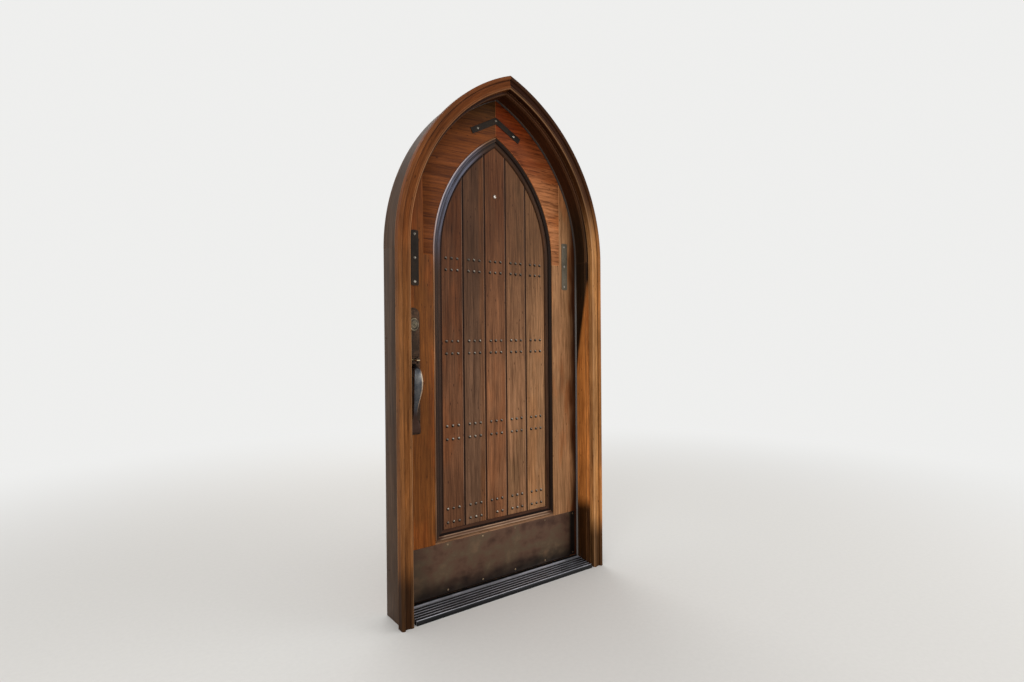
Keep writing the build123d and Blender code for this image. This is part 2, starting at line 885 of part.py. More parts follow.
def planks():
    """The boards of the panel, cut to the arch with a little play in the opening."""
    margin = opening_half - plank_play
    room = slab(arch_face(margin, panel_foot + plank_play), plank_recess, plank_back)
    boards = []
    for number in range(plank_count):
        left = number * plank_pitch - panel_half
        right = left + plank_pitch
        first = number == 0
        last = number == plank_count - 1
        section = plank_section(-margin if first else left, margin if last else right, first, last)
        board = leg_run(section, panel_foot, crown) & room
        nails = [place for place in stud_places() if left < place[0] < right]
        radius = stud_shank + slide_fit / 2
        cuts = [bar(place, inside, radius, stud_shank_length + slide_fit) for place in nails]
        if left < 0 < right:
            eye = (0, plank_recess - overcut, viewer_z)
            cuts.append(bar(eye, inside, viewer_tube + housed_fit, plank_thickness + 2 * overcut))
        boards.append(board - cuts)
    return boards


def moulding_section():
    """Stepped moulding: a quirk beside the stile, an upper band, a step and a lower band."""

    def point(inset, height):
        return (opening_half - inset, plank_recess - height)

    points = Polyline(
        point(0, 0),
        point(0, mould_quirk_depth),
        point(mould_quirk_width, mould_quirk_depth),
        point(mould_quirk_width, mould_top - mould_shoulder),
        point(mould_quirk_width + mould_shoulder, mould_top),
        point(mould_band - mould_shoulder, mould_top),
        point(mould_band, mould_top - mould_shoulder),
        point(mould_band, mould_step),
        point(opening_margin - mould_slope, mould_step),
        point(opening_margin, mould_toe),
        point(opening_margin, 0),
        close=True,
    )
    return make_face(points.edges())


def moulding_leg():
    """Right side length, mitred at its foot."""
    leg = leg_run(moulding_section(), panel_foot, spring_z)
    inner = opening_half - opening_margin
    corner = Polyline(
        (inner - overcut, panel_foot - overcut),
        (opening_half + overcut, panel_foot - overcut),
        (inner - overcut, panel_foot + opening_margin + overcut),
        close=True,
    )
    return leg - slab(make_face(corner.edges()), -overcut, plank_recess + overcut)


def moulding_foot():
    """Bottom length, mitred at both ends."""
    section = moulding_section()
    turned = Plane(origin=(0, 0, panel_foot + opening_half), x_dir=(0, 0, -1), z_dir=(1, 0, 0))
    run = Pos(-opening_half, 0, 0) * (turned * extrude(section, amount=2 * opening_half, dir=(0, 0, 1)))
    rise = opening_margin + overcut
    keep = Polyline(
        (-opening_half, panel_foot),
        (opening_half, panel_foot),
        (opening_half - rise, panel_foot + rise),
        (rise - opening_half, panel_foot + rise),
        close=True,
    )
    return run & slab(make_face(keep.edges()), -overcut, plank_recess + overcut)


def panel_studs():
    """Domed heads on short shanks, one separate stud for each place."""
    shank = Pos(0, 0, -stud_shank_length) * extrude(Circle(stud_shank), amount=stud_shank_length)
    stud = dome(stud_radius, stud_rise) + shank
    return Compound([put(stud, place, outside) for place in stud_places()])


# Ironwork


def kick_plate():
    face = Pos(0, kick_low + kick_height / 2) * RectangleRounded(kick_width, kick_height, kick_corner)
    return slab(face, -kick_thickness, 0) - seats(kick_screw, kick_places)


def mending_plate(centre, foot, places):
    face = RectangleRounded(mend_width, mend_length, mend_end_round)
    return slab(Pos(centre, foot + mend_length / 2) * face, -iron_thickness, 0) - seats(iron_screw, places)


def chevron_plate():
    """A band bent over the head joint, both arms falling at the same slope."""
    thick = chevron_width / cos(radians(chevron_slope)) / 2
    end_x = chevron_width * sin(radians(chevron_slope)) / 2
    end_z = chevron_width * cos(radians(chevron_slope)) / 2
    tip_z = chevron_z - chevron_reach * chevron_fall
    points = Polyline(
        (0, chevron_z + thick),
        (chevron_reach + end_x, tip_z + end_z),
        (chevron_reach - end_x, tip_z - end_z),
        (0, chevron_z - thick),
        (end_x - chevron_reach, tip_z - end_z),
        (-chevron_reach - end_x, tip_z + end_z),
        close=True,
    )
    return slab(make_face(points.edges()), -iron_thickness, 0) - seats(iron_screw, chevron_places)


def viewer_barrel():
    at = (0, plank_recess, viewer_z)
    body = bar(at, outside, viewer_flange, viewer_flange_thickness)
    body += bar(at, inside, viewer_tube, viewer_depth)
    mouth = (0, plank_recess - viewer_flange_thickness - overcut, viewer_z)
    return body - bar(mouth, inside, viewer_bore, viewer_flange_thickness + viewer_depth + 2 * overcut)


def viewer_lens():
    at = (0, plank_recess - viewer_flange_thickness + lens_recess, viewer_z)
    return bar(at, inside, viewer_bore, lens_thickness)


def viewer_eyepiece():
    at = (0, plank_back, viewer_z)
    outer = viewer_bore - slide_fit / 2
    body = bar(at, inside, eyepiece_flange, eyepiece_thickness) + bar(at, outside, outer, eyepiece_length)
    start = (0, plank_back - eyepiece_length - overcut, viewer_z)
    length = eyepiece_length + eyepiece_thickness + 2 * overcut
    return body - bar(start, inside, outer - eyepiece_wall, length)


# Lock


def bolt_case(z):
    """Tubular case with its faceplate, a channel for the bolt and a hole for the spindle."""
    start = -leaf_half + face_thickness
    length = backset - face_thickness + case_past_hub
    body = bar((start, middle_depth, z), to_right, case_radius, length) + leaf_faceplate(z)
    half_width = bolt_width / 2 + slide_fit
    half_height = bolt_height / 2 + slide_fit
    body -= block(
        -leaf_half - overcut,
        hub_x - hub_wall,
        middle_depth - half_width,
        middle_depth + half_width,
        z - half_height,
        z + half_height,
    )
    body -= bar((hub_x, 0, z), inside, hub_hole, leaf_thickness)
    return body - seats(wood_screw, [place for place in face_places if abs(place[0][2] - z) < face_length])


def lock_bolt(z, bevelled):
    """A bolt drawn back flush. The latch's is bevelled on the side that meets the strike first."""
    half_width = bolt_width / 2
    near = middle_depth - half_width
    far = middle_depth + half_width
    tip = -leaf_half
    end = tip + bolt_length
    body = block(tip, end, near, far, z - bolt_height / 2, z + bolt_height / 2)
    if bevelled:
        slope = Polyline((tip, near), (tip + latch_bevel, near), (tip, far - latch_nose), close=True)
        wedge = extrude(make_face(slope.edges()), amount=bolt_height + 2 * overcut, dir=(0, 0, 1))
        body -= Pos(0, 0, z - bolt_height / 2 - overcut) * wedge
    return body


def plate_outline(inset, low):
    """The outside plate's face: square foot and round top."""
    half = plate_width / 2 - inset
    top = lock_z + plate_above_lock - inset
    shoulder = top - half
    return outline(
        Polyline(
            (hub_x - half, shoulder),
            (hub_x - half, low),
            (hub_x + half, low),
            (hub_x + half, shoulder),
        ),
        ThreePointArc((hub_x + half, shoulder), (hub_x, top), (hub_x - half, shoulder)),
    )


thumb_z = latch_z + thumb_rise
thumb_y = -plate_panel / 2
plate_foot = lock_z + plate_above_lock - plate_length


def back_plate():
    """Long outside plate: raised panel round the cylinder and a boss that carries the thumb-piece."""
    plate = slab(plate_outline(0, plate_foot), -plate_base, 0)
    panel = slab(plate_outline(plate_panel_inset, latch_z + plate_panel_foot), -plate_panel, 0)
    boss_half = thumb_boss_width / 2
    low = latch_z - thumb_boss_below
    boss = block(hub_x - boss_half, hub_x + boss_half, -plate_panel, 0, low, latch_z + plate_panel_foot)
    plate = plate + panel + boss
    slot_half = thumb_slot_width / 2
    slot = block(
        hub_x - slot_half,
        hub_x + slot_half,
        -plate_panel - overcut,
        overcut,
        thumb_z - thumb_slot_height / 2,
        thumb_z + thumb_slot_height / 2,
    )
    start = (hub_x - boss_half - overcut, thumb_y, thumb_z)
    pivot = bar(start, to_right, thumb_trunnion + turn_fit, thumb_boss_width + 2 * overcut)
    start = (hub_x, -plate_panel - overcut, lock_z)
    cylinder = bar(start, inside, cylinder_radius + housed_fit, plate_panel + 2 * overcut)
    plate = plate - [slot, pivot, cylinder]
    for z in through_bolt_heights():
        plate += bar((hub_x, 0, z), inside, through_boss, through_boss_length)
        start = (hub_x, through_hole_end, z)
        plate -= bar(start, inside, through_bolt + slide_fit / 2, through_boss_length)
    return plate


def lock_cylinder():
    """Oval collar in front of the plate, with the cylinder's body behind it and a bore for the plug."""
    face = Pos(hub_x, lock_z) * Ellipse(collar_half_width, collar_half_height)
    collar = slab(face, -plate_panel - collar_rise, -plate_panel)
    collar = chamfer(collar.edges().group_by(Axis.Y)[0], collar_chamfer)
    body = bar((hub_x, -plate_panel, lock_z), inside, cylinder_radius, plate_panel + cylinder_reach)
    mouth = (hub_x, -plate_panel - collar_rise - overcut, lock_z)
    depth = plate_panel + collar_rise + cylinder_reach + 2 * overcut
    return collar + body - bar(mouth, inside, plug_radius + turn_fit, depth)


def key_plug():
    front = -plate_panel - collar_rise - plug_proud
    plug = bar((hub_x, front, lock_z), inside, plug_radius, cylinder_reach - front)
    plug -= block(
        hub_x - keyway_width / 2,
        hub_x + keyway_width / 2,
        front - overcut,
        front + keyway_depth,
        lock_z - keyway_height / 2,
        lock_z + keyway_height / 2,
    )
    return plug + block(
        hub_x - tailpiece_width / 2,
        hub_x + tailpiece_width / 2,
        cylinder_reach,
        tailpiece_end,
        lock_z - tailpiece_height / 2,
        lock_z + tailpiece_height / 2,
    )


def thumb_piece():
    """Pressed down: a dished pad outside, a hub on two trunnions and a short tail over the latch."""
    half = thumb_boss_width / 2
    trunnion = bar((hub_x - half, thumb_y, thumb_z), to_right, thumb_trunnion, thumb_boss_width)
    hub_half = thumb_slot_width / 2 - slide_fit
    hub = bar((hub_x - hub_half, thumb_y, thumb_z), to_right, thumb_hub, 2 * hub_half)
    tail_half = thumb_tail_width / 2
    flat = thumb_pad_thickness / 2
    low = thumb_z - flat
    high = thumb_z + flat
    tail = block(hub_x - tail_half, hub_x + tail_half, thumb_y, thumb_tail_end, low, high)
    neck_end = -plate_panel - thumb_neck
    neck = block(hub_x - hub_half, hub_x + hub_half, neck_end, thumb_y, low, high)
    reach = neck_end - thumb_pad_reach + thumb_pad_width / 2
    pad_half = thumb_pad_width / 2
    face = outline(
        Polyline(
            (hub_x - pad_half, reach),
            (hub_x - pad_half, neck_end),
            (hub_x + pad_half, neck_end),
            (hub_x + pad_half, reach),
        ),
        ThreePointArc((hub_x + pad_half, reach), (hub_x, reach - pad_half), (hub_x - pad_half, reach)),
    )
    pad = Pos(0, 0, low) * extrude(face, amount=thumb_pad_thickness, dir=(0, 0, 1))
    return trunnion + hub + tail + neck + pad


# Stations of the grip: proud of the plate, share of the way down from its root to its foot, width across,
# thickness, and the angle that the grip has turned from level towards straight down
grip_stations = (
    (0.0, 0.0, 24.0, 14.0, 0.0),
    (18.0, 0.019, 25.0, 14.0, 25.0),
    (33.0, 0.105, 34.0, 16.0, 68.0),
    (37.0, 0.267, 41.0, 17.0, 96.0),
    (31.0, 0.467, 38.0, 16.0, 104.0),
    (18.0, 0.681, 26.0, 13.0, 107.0),
    (8.5, 0.867, 20.0, 11.0, 104.0),
    (3.6, 1.0, 18.0, 7.0, 98.0),
)


def grip_handle():
    """Bowed grip: widest in its upper half, narrowing to a flared foot on the plate."""
    foot_low = plate_foot + plate_corner
    foot_top = foot_low + grip_foot_length
    root_z = latch_z - grip_root_drop
    drop = root_z - foot_top + grip_into_foot
    sections = []
    for proud, share, width, thickness, angle in grip_stations:
        turned = radians(angle)
        along = (0, -cos(turned), -sin(turned))
        centre = (hub_x, -plate_base - proud, root_z - share * drop)
        plane = Plane(origin=centre, x_dir=(1, 0, 0), z_dir=along)
        sections.append(plane * Ellipse(width / 2, thickness / 2))
    behind = block(hub_x - plate_width, hub_x + plate_width, -plate_base, leaf_thickness, plate_foot, lock_z)
    bow = loft(sections) - behind
    half = plate_width / 2 - grip_foot_inset
    waist = foot_top - plate_width / 2
    neck = grip_foot_neck / 2
    face = outline(
        Polyline(
            (hub_x - half, waist),
            (hub_x - half, foot_low),
            (hub_x + half, foot_low),
            (hub_x + half, waist),
            (hub_x + neck, foot_top),
            (hub_x - neck, foot_top),
            (hub_x - half, waist),
        )
    )
    return bow + slab(face, -plate_base - grip_foot_rise, -plate_base)


# Inside furniture


def inside_plate():
    low = latch_z - inside_plate_margin
    high = lock_z + inside_plate_margin
    face = Pos(hub_x, (low + high) / 2) * RectangleRounded(plate_width, high - low, plate_corner)
    plate = slab(face, leaf_thickness, inside_front)
    plate = chamfer(plate.edges().group_by(Axis.Y)[-1], inside_plate_chamfer)
    start = leaf_thickness - overcut
    depth = inside_plate_thickness + 2 * overcut
    cuts = [
        bar((hub_x, start, lock_z), inside, turn_shank + turn_fit, depth),
        bar((hub_x, start, latch_z), inside, knob_shank + turn_fit, depth),
    ]
    for z in through_bolt_heights():
        cuts.append(bar((hub_x, start, z), inside, through_bolt + slide_fit / 2, depth))
        sink = inside_front - through_bolt_head / 2
        cuts.append(bar((hub_x, sink, z), inside, through_bolt_head + slide_fit / 2, through_bolt_head))
    return plate - cuts


def through_bolts():
    """Two long screws that draw the inside and outside plates together."""
    bolts = []
    for z in through_bolt_heights():
        sink = inside_front - through_bolt_head / 2
        bolt = bar((hub_x, through_bolt_tip, z), inside, through_bolt, sink - through_bolt_tip)
        bolts.append(bolt + bar((hub_x, sink, z), inside, through_bolt_head, through_bolt_head / 2))
    return bolts


def thumb_turn():
    """Oval turn on a round shank, with its spindle in the lock case."""
    shank = bar((hub_x, leaf_thickness, lock_z), inside, turn_shank, inside_plate_thickness + turn_gap)
    spindle = bar((hub_x, spindle_end, lock_z), inside, spindle_radius, leaf_thickness - spindle_end)
    start = inside_front + turn_gap
    face = SlotOverall(turn_length, turn_width, rotation=90)
    grip = slab(Pos(hub_x, lock_z) * face, start, start + turn_rise)
    grip = chamfer(grip.edges().group_by(Axis.Y)[-1], turn_chamfer)
    return shank + spindle + grip


def inside_knob():
    """Round knob on its neck, with its spindle in the latch case."""
    spindle = bar((hub_x, spindle_end, latch_z), inside, spindle_radius, leaf_thickness - spindle_end)
    shank = bar((hub_x, leaf_thickness, latch_z), inside, knob_shank, inside_plate_thickness + knob_neck)
    edge = knob_depth - knob_crown
    profile = outline(
        Polyline((0, knob_depth), (0, 0), (knob_base, 0)),
        ThreePointArc((knob_base, 0), (knob_radius, knob_depth / 2), (knob_face, edge)),
        Polyline((knob_face, edge), (0, knob_depth)),
    )
    ball = revolve(Plane.XZ * profile, axis=Axis.Z)
    return spindle + shank + put(ball, (hub_x, inside_front + knob_neck - knob_sink, latch_z), inside)


def bottom_sweep():
    """Strip under the leaf with two fins that brush the threshold."""
    half = sweep_width / 2
    low = saddle_top + slide_fit
    span = leaf_half - leaf_gap
    strip = block(-span, span, middle_depth - half, middle_depth + half, leaf_foot - sweep_base, leaf_foot)
    for side in (-1, 1):
        outer = middle_depth + side * half
        strip += block(-span, span, outer - side * sweep_fin, outer, low, leaf_foot - sweep_base)
    return strip


# Pieces by name

board = leaf_blank()
stile = plain_left_stile(board)
head = left_head(board)
casing_leg = leg_run(casing_section(), 0, spring_z)
casing_head = arc_run(casing_section())
head_jamb = arc_run(jamb_section())
seal = weather_seal()
mould_leg = moulding_leg()
mould_head = arc_run(moulding_section())
wing_span = {"door": (leaf_half - hinge_plate, leaf_half), "frame": (rebate_half, rebate_half + hinge_plate)}

pieces = {
    "threshold_saddle": threshold_saddle(),
    "left_jamb": left_jamb(),
    "right_jamb": right_jamb(),
    "left_head_jamb": other_side(head_jamb),
    "right_head_jamb": head_jamb,
    "left_casing": other_side(casing_leg),
    "right_casing": casing_leg,
    "left_head_casing": other_side(casing_head),
    "right_head_casing": casing_head,
    "left_weather_seal": other_side(seal),
    "right_weather_seal": seal,
    "deadbolt_strike": strike_plate(lock_z, deadbolt_throw, False),
    "latch_strike": strike_plate(latch_z, latch_throw, True),
    "left_stile": left_stile(stile),
    "right_stile": right_stile(stile),
    "left_head": head - seats(iron_screw, iron_places),
    "right_head": other_side(head) - seats(iron_screw, iron_places),
    "bottom_rail": bottom_rail(board),
    "left_panel_moulding": other_side(mould_leg),
    "right_panel_moulding": mould_leg,
    "left_head_moulding": other_side(mould_head),
    "right_head_moulding": mould_head,
    "bottom_panel_moulding": moulding_foot(),
    "panel_studs": panel_studs(),
    "viewer_barrel": viewer_barrel(),
    "viewer_lens": viewer_lens(),
    "viewer_eyepiece": viewer_eyepiece(),
    "kick_plate": kick_plate(),
    "left_mending_plate": mending_plate(*left_mend, left_mend_places),
    "right_mending_plate": mending_plate(*right_mend, right_mend_places),
    "chevron_plate": chevron_plate(),
    "deadbolt_case": bolt_case(lock_z),
    "latch_case": bolt_case(latch_z),
    "dead_bolt": lock_bolt(lock_z, False),
    "latch_bolt": lock_bolt(latch_z, True),
    "back_plate": back_plate(),
    "lock_cylinder": lock_cylinder(),
    "key_plug": key_plug(),
    "thumb_piece": thumb_piece(),
    "grip_handle": grip_handle(),
    "inside_plate": inside_plate(),
    "thumb_turn": thumb_turn(),
    "inside_knob": inside_knob(),
    "bottom_sweep": bottom_sweep(),
    "hinge_pins": Compound([hinge_pin(z) for z in hinge_places.values()]),
    "kick_plate_screws": Compound(screws(kick_screw, kick_places)),
    "ironwork_screws": Compound(screws(iron_screw, iron_places)),
    "frame_screws": Compound(screws(wood_screw, jamb_hinge_places + strike_places + saddle_places)),
    "leaf_screws": Compound(screws(wood_screw, leaf_hinge_places + face_places) + through_bolts()),
}
for number, plank in enumerate(planks(), start=1):
    pieces["plank_" + str(number)] = plank
for name, z in hinge_places.items():
    even = range(0, knuckle_count, 2)
    odd = range(1, knuckle_count, 2)
    pieces["frame_hinge_leaf_" + name] = hinge_leaf(z, *wing_span["frame"], even, jamb_hinge_places)
    pieces["door_hinge_leaf_" + name] = hinge_leaf(z, *wing_span["door"], odd, leaf_hinge_places)

os.makedirs("parts", exist_ok=True)
for name, piece in pieces.items():
    export_step(piece, "parts/" + name + ".step")
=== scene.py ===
"""Looks of an arched plank door in its wooden frame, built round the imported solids."""

import json
from math import radians

import bmesh
import bpy
import numpy as np
from mathutils import Matrix, Vector


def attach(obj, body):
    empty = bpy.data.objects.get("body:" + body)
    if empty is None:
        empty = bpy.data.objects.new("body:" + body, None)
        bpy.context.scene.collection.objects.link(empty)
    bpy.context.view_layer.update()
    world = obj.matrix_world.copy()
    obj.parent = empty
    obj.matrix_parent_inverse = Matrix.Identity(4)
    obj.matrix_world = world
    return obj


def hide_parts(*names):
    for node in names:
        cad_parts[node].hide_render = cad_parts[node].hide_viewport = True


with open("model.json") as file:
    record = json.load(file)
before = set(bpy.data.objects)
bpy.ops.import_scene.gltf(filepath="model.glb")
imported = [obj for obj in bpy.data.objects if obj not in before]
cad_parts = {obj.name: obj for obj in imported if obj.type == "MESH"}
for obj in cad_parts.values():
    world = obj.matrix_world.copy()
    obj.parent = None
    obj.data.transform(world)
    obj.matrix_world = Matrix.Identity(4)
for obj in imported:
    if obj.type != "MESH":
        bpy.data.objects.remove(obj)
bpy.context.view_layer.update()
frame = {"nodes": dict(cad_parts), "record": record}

bl_info = {
    "name": "Arched plank door",
    "version": (1, 0, 0),
    "blender": (4, 5, 0),
    "location": "3D View > Sidebar > Arched door",
    "description": "Wood, ironwork and lock of an arched door in its frame, with the stage it stands on",
    "category": "Object",
}

# The door's own measures, in metres: X across, Y into the house, Z up
SIDES = ((-1, "left"), (1, "right"))
SPRING = 1.4
ARC_OFFSET = 0.272
SADDLE_TOP = 0.029
OPENING = 0.307
PANEL = 0.2695
PANEL_FOOT = 0.25
PLANK_FRONT = 0.013
PLANK_BACK = 0.0315
PLANK_PITCH = 0.1078
PLANKS = 5
STUD_ROWS = (1.131, 1.084, 0.795, 0.745, 0.452, 0.398, 0.117, 0.062)
STUD_SPACING = 0.027
VIEWER_Z = 1.659
KICK_HALF = 0.4318
KICK_LOW = 0.037
KICK_HIGH = 0.2402
KICK_THICK = 0.0016
KICK_SCREW_INSET = 0.011
MENDING_PLATES = (("left", -0.387, 1.263), ("right", 0.380, 1.276))
MENDING_LENGTH = 0.214
MENDING_SCREWS = (0.015, 0.107, 0.199)
IRON_THICK = 0.003
ELBOW_Z = 1.97747
ELBOW_SLOPE = radians(28.0)
CHEVRON_SCREWS = (-0.092, 0.0, 0.092)
HUB_X = -0.3969
LOCK_Z = 1.112
LATCH_Z = 0.9723
THUMB_Z = LATCH_Z + 0.0037
PLATE_TOP = LOCK_Z + 0.065
PLATE_FOOT = 0.687
PANEL_LOW = LATCH_Z + 0.015

# Factors that turn a wood's tone into the dark of its corners and joints: dirt together with painted shade
DIRT_AND_SHADE = (0.07, 0.05, 0.045)


def shade(*seen):
    """A colour as it is seen, 0 to 255 each, made linear for a shader."""
    return tuple(((v / 255 + 0.055) / 1.055) ** 2.4 if v > 10 else v / 255 / 12.92 for v in seen)


def scaled(colour, *factors):
    """A colour times one factor, or times one each for red, green and blue."""
    factors = factors * 3 if len(factors) == 1 else factors
    return tuple(min(c * f, 1.0) for c, f in zip(colour, factors))


# Meshes


def quads(rows, columns, ring=False):
    """Quads of a grid of points stored row by row; in a ring the last column joins the first."""
    a, b = np.meshgrid(np.arange(rows - 1), np.arange(columns if ring else columns - 1), indexing="ij")
    after = (b + 1) % columns
    corners = (a * columns + b, a * columns + after, (a + 1) * columns + after, (a + 1) * columns + b)
    return np.stack(corners, axis=-1).reshape(-1, 4)


def shell_of(points, faces, grain=None, wear=None):
    """Points and faces with a place in the grain and a wear for each point."""
    points = points.reshape(-1, 3)
    grain = points if grain is None else grain.reshape(-1, 3)
    wear = np.zeros(len(points)) if wear is None else wear.reshape(-1)
    return points, faces, grain, wear


def tube(points, grain=None, wear=None, capped=True):
    """A shell from a grid whose every row is one ring round the section; caps close the first and last."""
    rows, columns = points.shape[:2]
    faces = quads(rows, columns, ring=True).tolist()
    if capped:
        faces += [list(range(columns)), list(range((rows - 1) * columns, rows * columns))]
    return shell_of(points, faces, grain, wear)


def two_sided(front, back):
    """A closed shell from two grids of the same size, joined round their rims."""
    rows, columns = front.shape[:2]
    face, total = quads(rows, columns), rows * columns
    sides = (
        np.arange(columns),
        np.arange(1, rows) * columns + columns - 1,
        (rows - 1) * columns + np.arange(columns - 2, -1, -1),
        np.arange(rows - 2, 0, -1) * columns,
    )
    rim = np.concatenate(sides)
    after = np.roll(rim, -1)
    wall = np.stack((rim, after, after + total, rim + total), axis=1)
    return shell_of(np.stack((front, back)), np.concatenate((face, face + total, wall)).tolist())


def store(mesh, name, values):
    """Keeps a number or a vector for each point of a mesh, under the name that its material reads."""
    vector = values.ndim == 2
    layer = mesh.attributes.new(name, "FLOAT_VECTOR" if vector else "FLOAT", "POINT")
    layer.data.foreach_set("vector" if vector else "value", values.astype(np.float32).ravel())


def smooth(mesh, sharp):
    """Shades a mesh smooth, but for edges that turn by more than the sharp angle in degrees."""
    mesh.polygons.foreach_set("use_smooth", np.ones(len(mesh.polygons), bool))
    mesh.set_sharp_from_angle(angle=radians(sharp))
    mesh.update()


def build_mesh(name, shells, sharp=35.0):
    """Joins shells into one mesh, merges doubles, turns faces outwards and smooths all but sharp edges."""
    points, faces, grain, wear = zip(*shells)
    starts = np.cumsum([0] + [len(group) for group in points]).tolist()
    joined = [[index + start for index in face] for start, group in zip(starts, faces) for face in group]
    mesh = bpy.data.meshes.new(name)
    mesh.from_pydata(np.concatenate(points).tolist(), [], joined)
    store(mesh, "grain", np.concatenate(grain))
    store(mesh, "wear", np.concatenate(wear))
    work = bmesh.new()
    work.from_mesh(mesh)
    bmesh.ops.remove_doubles(work, verts=work.verts, dist=2e-6)
    bmesh.ops.recalc_face_normals(work, faces=work.faces)
    work.to_mesh(mesh)
    work.free()
    smooth(mesh, sharp)
    return mesh


def finish_piece(mesh, material, node):
    """Puts a finished mesh into the scene on its node's body, in place of the node."""
    record = frame["record"]
    body = next(name for name, nodes in record["behaviour"]["bodies"].items() if node in nodes)
    slot = next(part["material_slot"] for part in record["subparts"] if part["node"] == node)
    mesh.materials.append(material)
    piece = bpy.data.objects.new(mesh.name, mesh)
    bpy.context.scene.collection.objects.link(piece)
    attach(piece, body)
    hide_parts(node)


def add_piece(name, shells, material, node, sharp=35.0):
    """Makes one piece of some shells, in place of a node."""
    finish_piece(build_mesh(name, shells, sharp), material, node)


def points_of(mesh):
    """Every point of a mesh as a row of X, Y and Z."""
    points = np.zeros(len(mesh.vertices) * 3, np.float32)
    mesh.vertices.foreach_get("co", points)
    return points.reshape(-1, 3)


def worked_copy(node, material, along="z", ease=0.0006):
    """The node's own solid with its triangles joined into whole faces and its long arrises eased."""
    source = frame["nodes"][node].data
    source.calc_loop_triangles()
    triangles = np.zeros(len(source.loop_triangles) * 3, np.int32)
    source.loop_triangles.foreach_get("vertices", triangles)
    mesh = bpy.data.meshes.new(node + "_worked")
    mesh.from_pydata(points_of(source).tolist(), [], triangles.reshape(-1, 3).tolist())
    work = bmesh.new()
    work.from_mesh(mesh)
    bmesh.ops.remove_doubles(work, verts=work.verts, dist=1e-6)
    bmesh.ops.dissolve_limit(work, angle_limit=radians(0.4), verts=work.verts, edges=work.edges)
    worn = work.loops.layers.float.new("wear")
    if ease:
        long_edges = [
            edge
            for edge in work.edges
            if edge.calc_length() > 10 * ease
            and edge.is_manifold
            and abs(edge.calc_face_angle(0)) > radians(30)
        ]
        made = bmesh.ops.bevel(
            work, geom=long_edges, offset=ease, offset_type="OFFSET", segments=2, profile=0.5,
            affect="EDGES", clamp_overlap=False,
        )
        for face in made["faces"]:
            for corner in face.loops:
                corner[worn] = 1.0
    work.to_mesh(mesh)
    work.free()
    points = points_of(mesh)
    store(mesh, "grain", points[:, ::-1] if along == "x" else points)
    smooth(mesh, 32.0)
    finish_piece(mesh, material, node)


def eased(profile, radius, steps=4):
    """A closed outline with each corner swapped for a short curve between two points beside it."""
    tiny = 1e-12
    before = np.roll(profile, 1, axis=0) - profile
    after = np.roll(profile, -1, axis=0) - profile
    length_before = np.linalg.norm(before, axis=1, keepdims=True)
    length_after = np.linalg.norm(after, axis=1, keepdims=True)
    cosine = (before * after).sum(1, keepdims=True) / np.maximum(length_before * length_after, tiny)
    reach = np.minimum(radius, 0.45 * np.minimum(length_before, length_after))
    reach = np.where(cosine > -0.9, reach, 0.0)
    start = (profile + before / np.maximum(length_before, tiny) * reach)[:, None, :]
    end = (profile + after / np.maximum(length_after, tiny) * reach)[:, None, :]
    t = np.linspace(0, 1, steps)[None, :, None]
    curve = (1 - t) ** 2 * start + 2 * t * (1 - t) * profile[:, None, :] + t**2 * end
    flat = curve.reshape(-1, 2)
    keep = np.linalg.norm(flat - np.roll(flat, 1, axis=0), axis=1) > 2e-6
    return flat[keep]


def shouldered(profile, gap=0.0025):
    """The outline with a point added near each end of its longer sides, so that wear stays at the arris."""
    side = np.roll(profile, -1, axis=0) - profile
    length = np.linalg.norm(side, axis=1, keepdims=True)
    share = np.where(length > 3 * gap, gap / np.maximum(length, 1e-9), 0.0)
    points = np.stack((profile, profile + side * share, profile + side * (1 - share)), axis=1).reshape(-1, 2)
    keep = np.ones((len(profile), 3), bool)
    keep[:, 1:] = length > 3 * gap
    return points[keep.ravel()]


def rub(profile, reach=0.0012, full=1.1):
    """Wear along a closed outline: the turning of its sides, gathered over a short reach.

    It is above nought where an arris stands out, and below it where a corner is darkened by soiling and by
    painted shade.
    """
    before = profile - np.roll(profile, 1, axis=0)
    after = np.roll(profile, -1, axis=0) - profile
    cross = before[:, 0] * after[:, 1] - before[:, 1] * after[:, 0]
    turn = np.arctan2(cross, (before * after).sum(axis=1))
    turn = turn * np.sign(turn.sum())
    far = np.linalg.norm(profile[:, None] - profile[None], axis=2)
    return np.clip((np.exp(-((far / reach) ** 2)) @ turn) / full, -1, 1)


def arc_through(first, middle, last, count):
    """Points of the circle through three points, from the first to the last."""
    (ax, ay), (bx, by), (cx, cy) = first, middle, last
    d = 2 * (ax * (by - cy) + bx * (cy - ay) + cx * (ay - by))
    a2, b2, c2 = ax * ax + ay * ay, bx * bx + by * by, cx * cx + cy * cy
    across = (a2 * (by - cy) + b2 * (cy - ay) + c2 * (ay - by)) / d
    upright = (a2 * (cx - bx) + b2 * (ax - cx) + c2 * (bx - ax)) / d
    angles = np.unwrap([np.arctan2(y - upright, x - across) for x, y in (first, middle, last)])
    turn = np.linspace(angles[0], angles[2], count)
    ring = np.stack((np.cos(turn), np.sin(turn)), axis=1)
    return np.array((across, upright)) + np.hypot(ax - across, ay - upright) * ring


def arch_top(half, x):
    """Height of the arch of a half width above each X."""
    return SPRING + np.sqrt(np.maximum((half + ARC_OFFSET) ** 2 - (np.abs(x) + ARC_OFFSET) ** 2, 0))


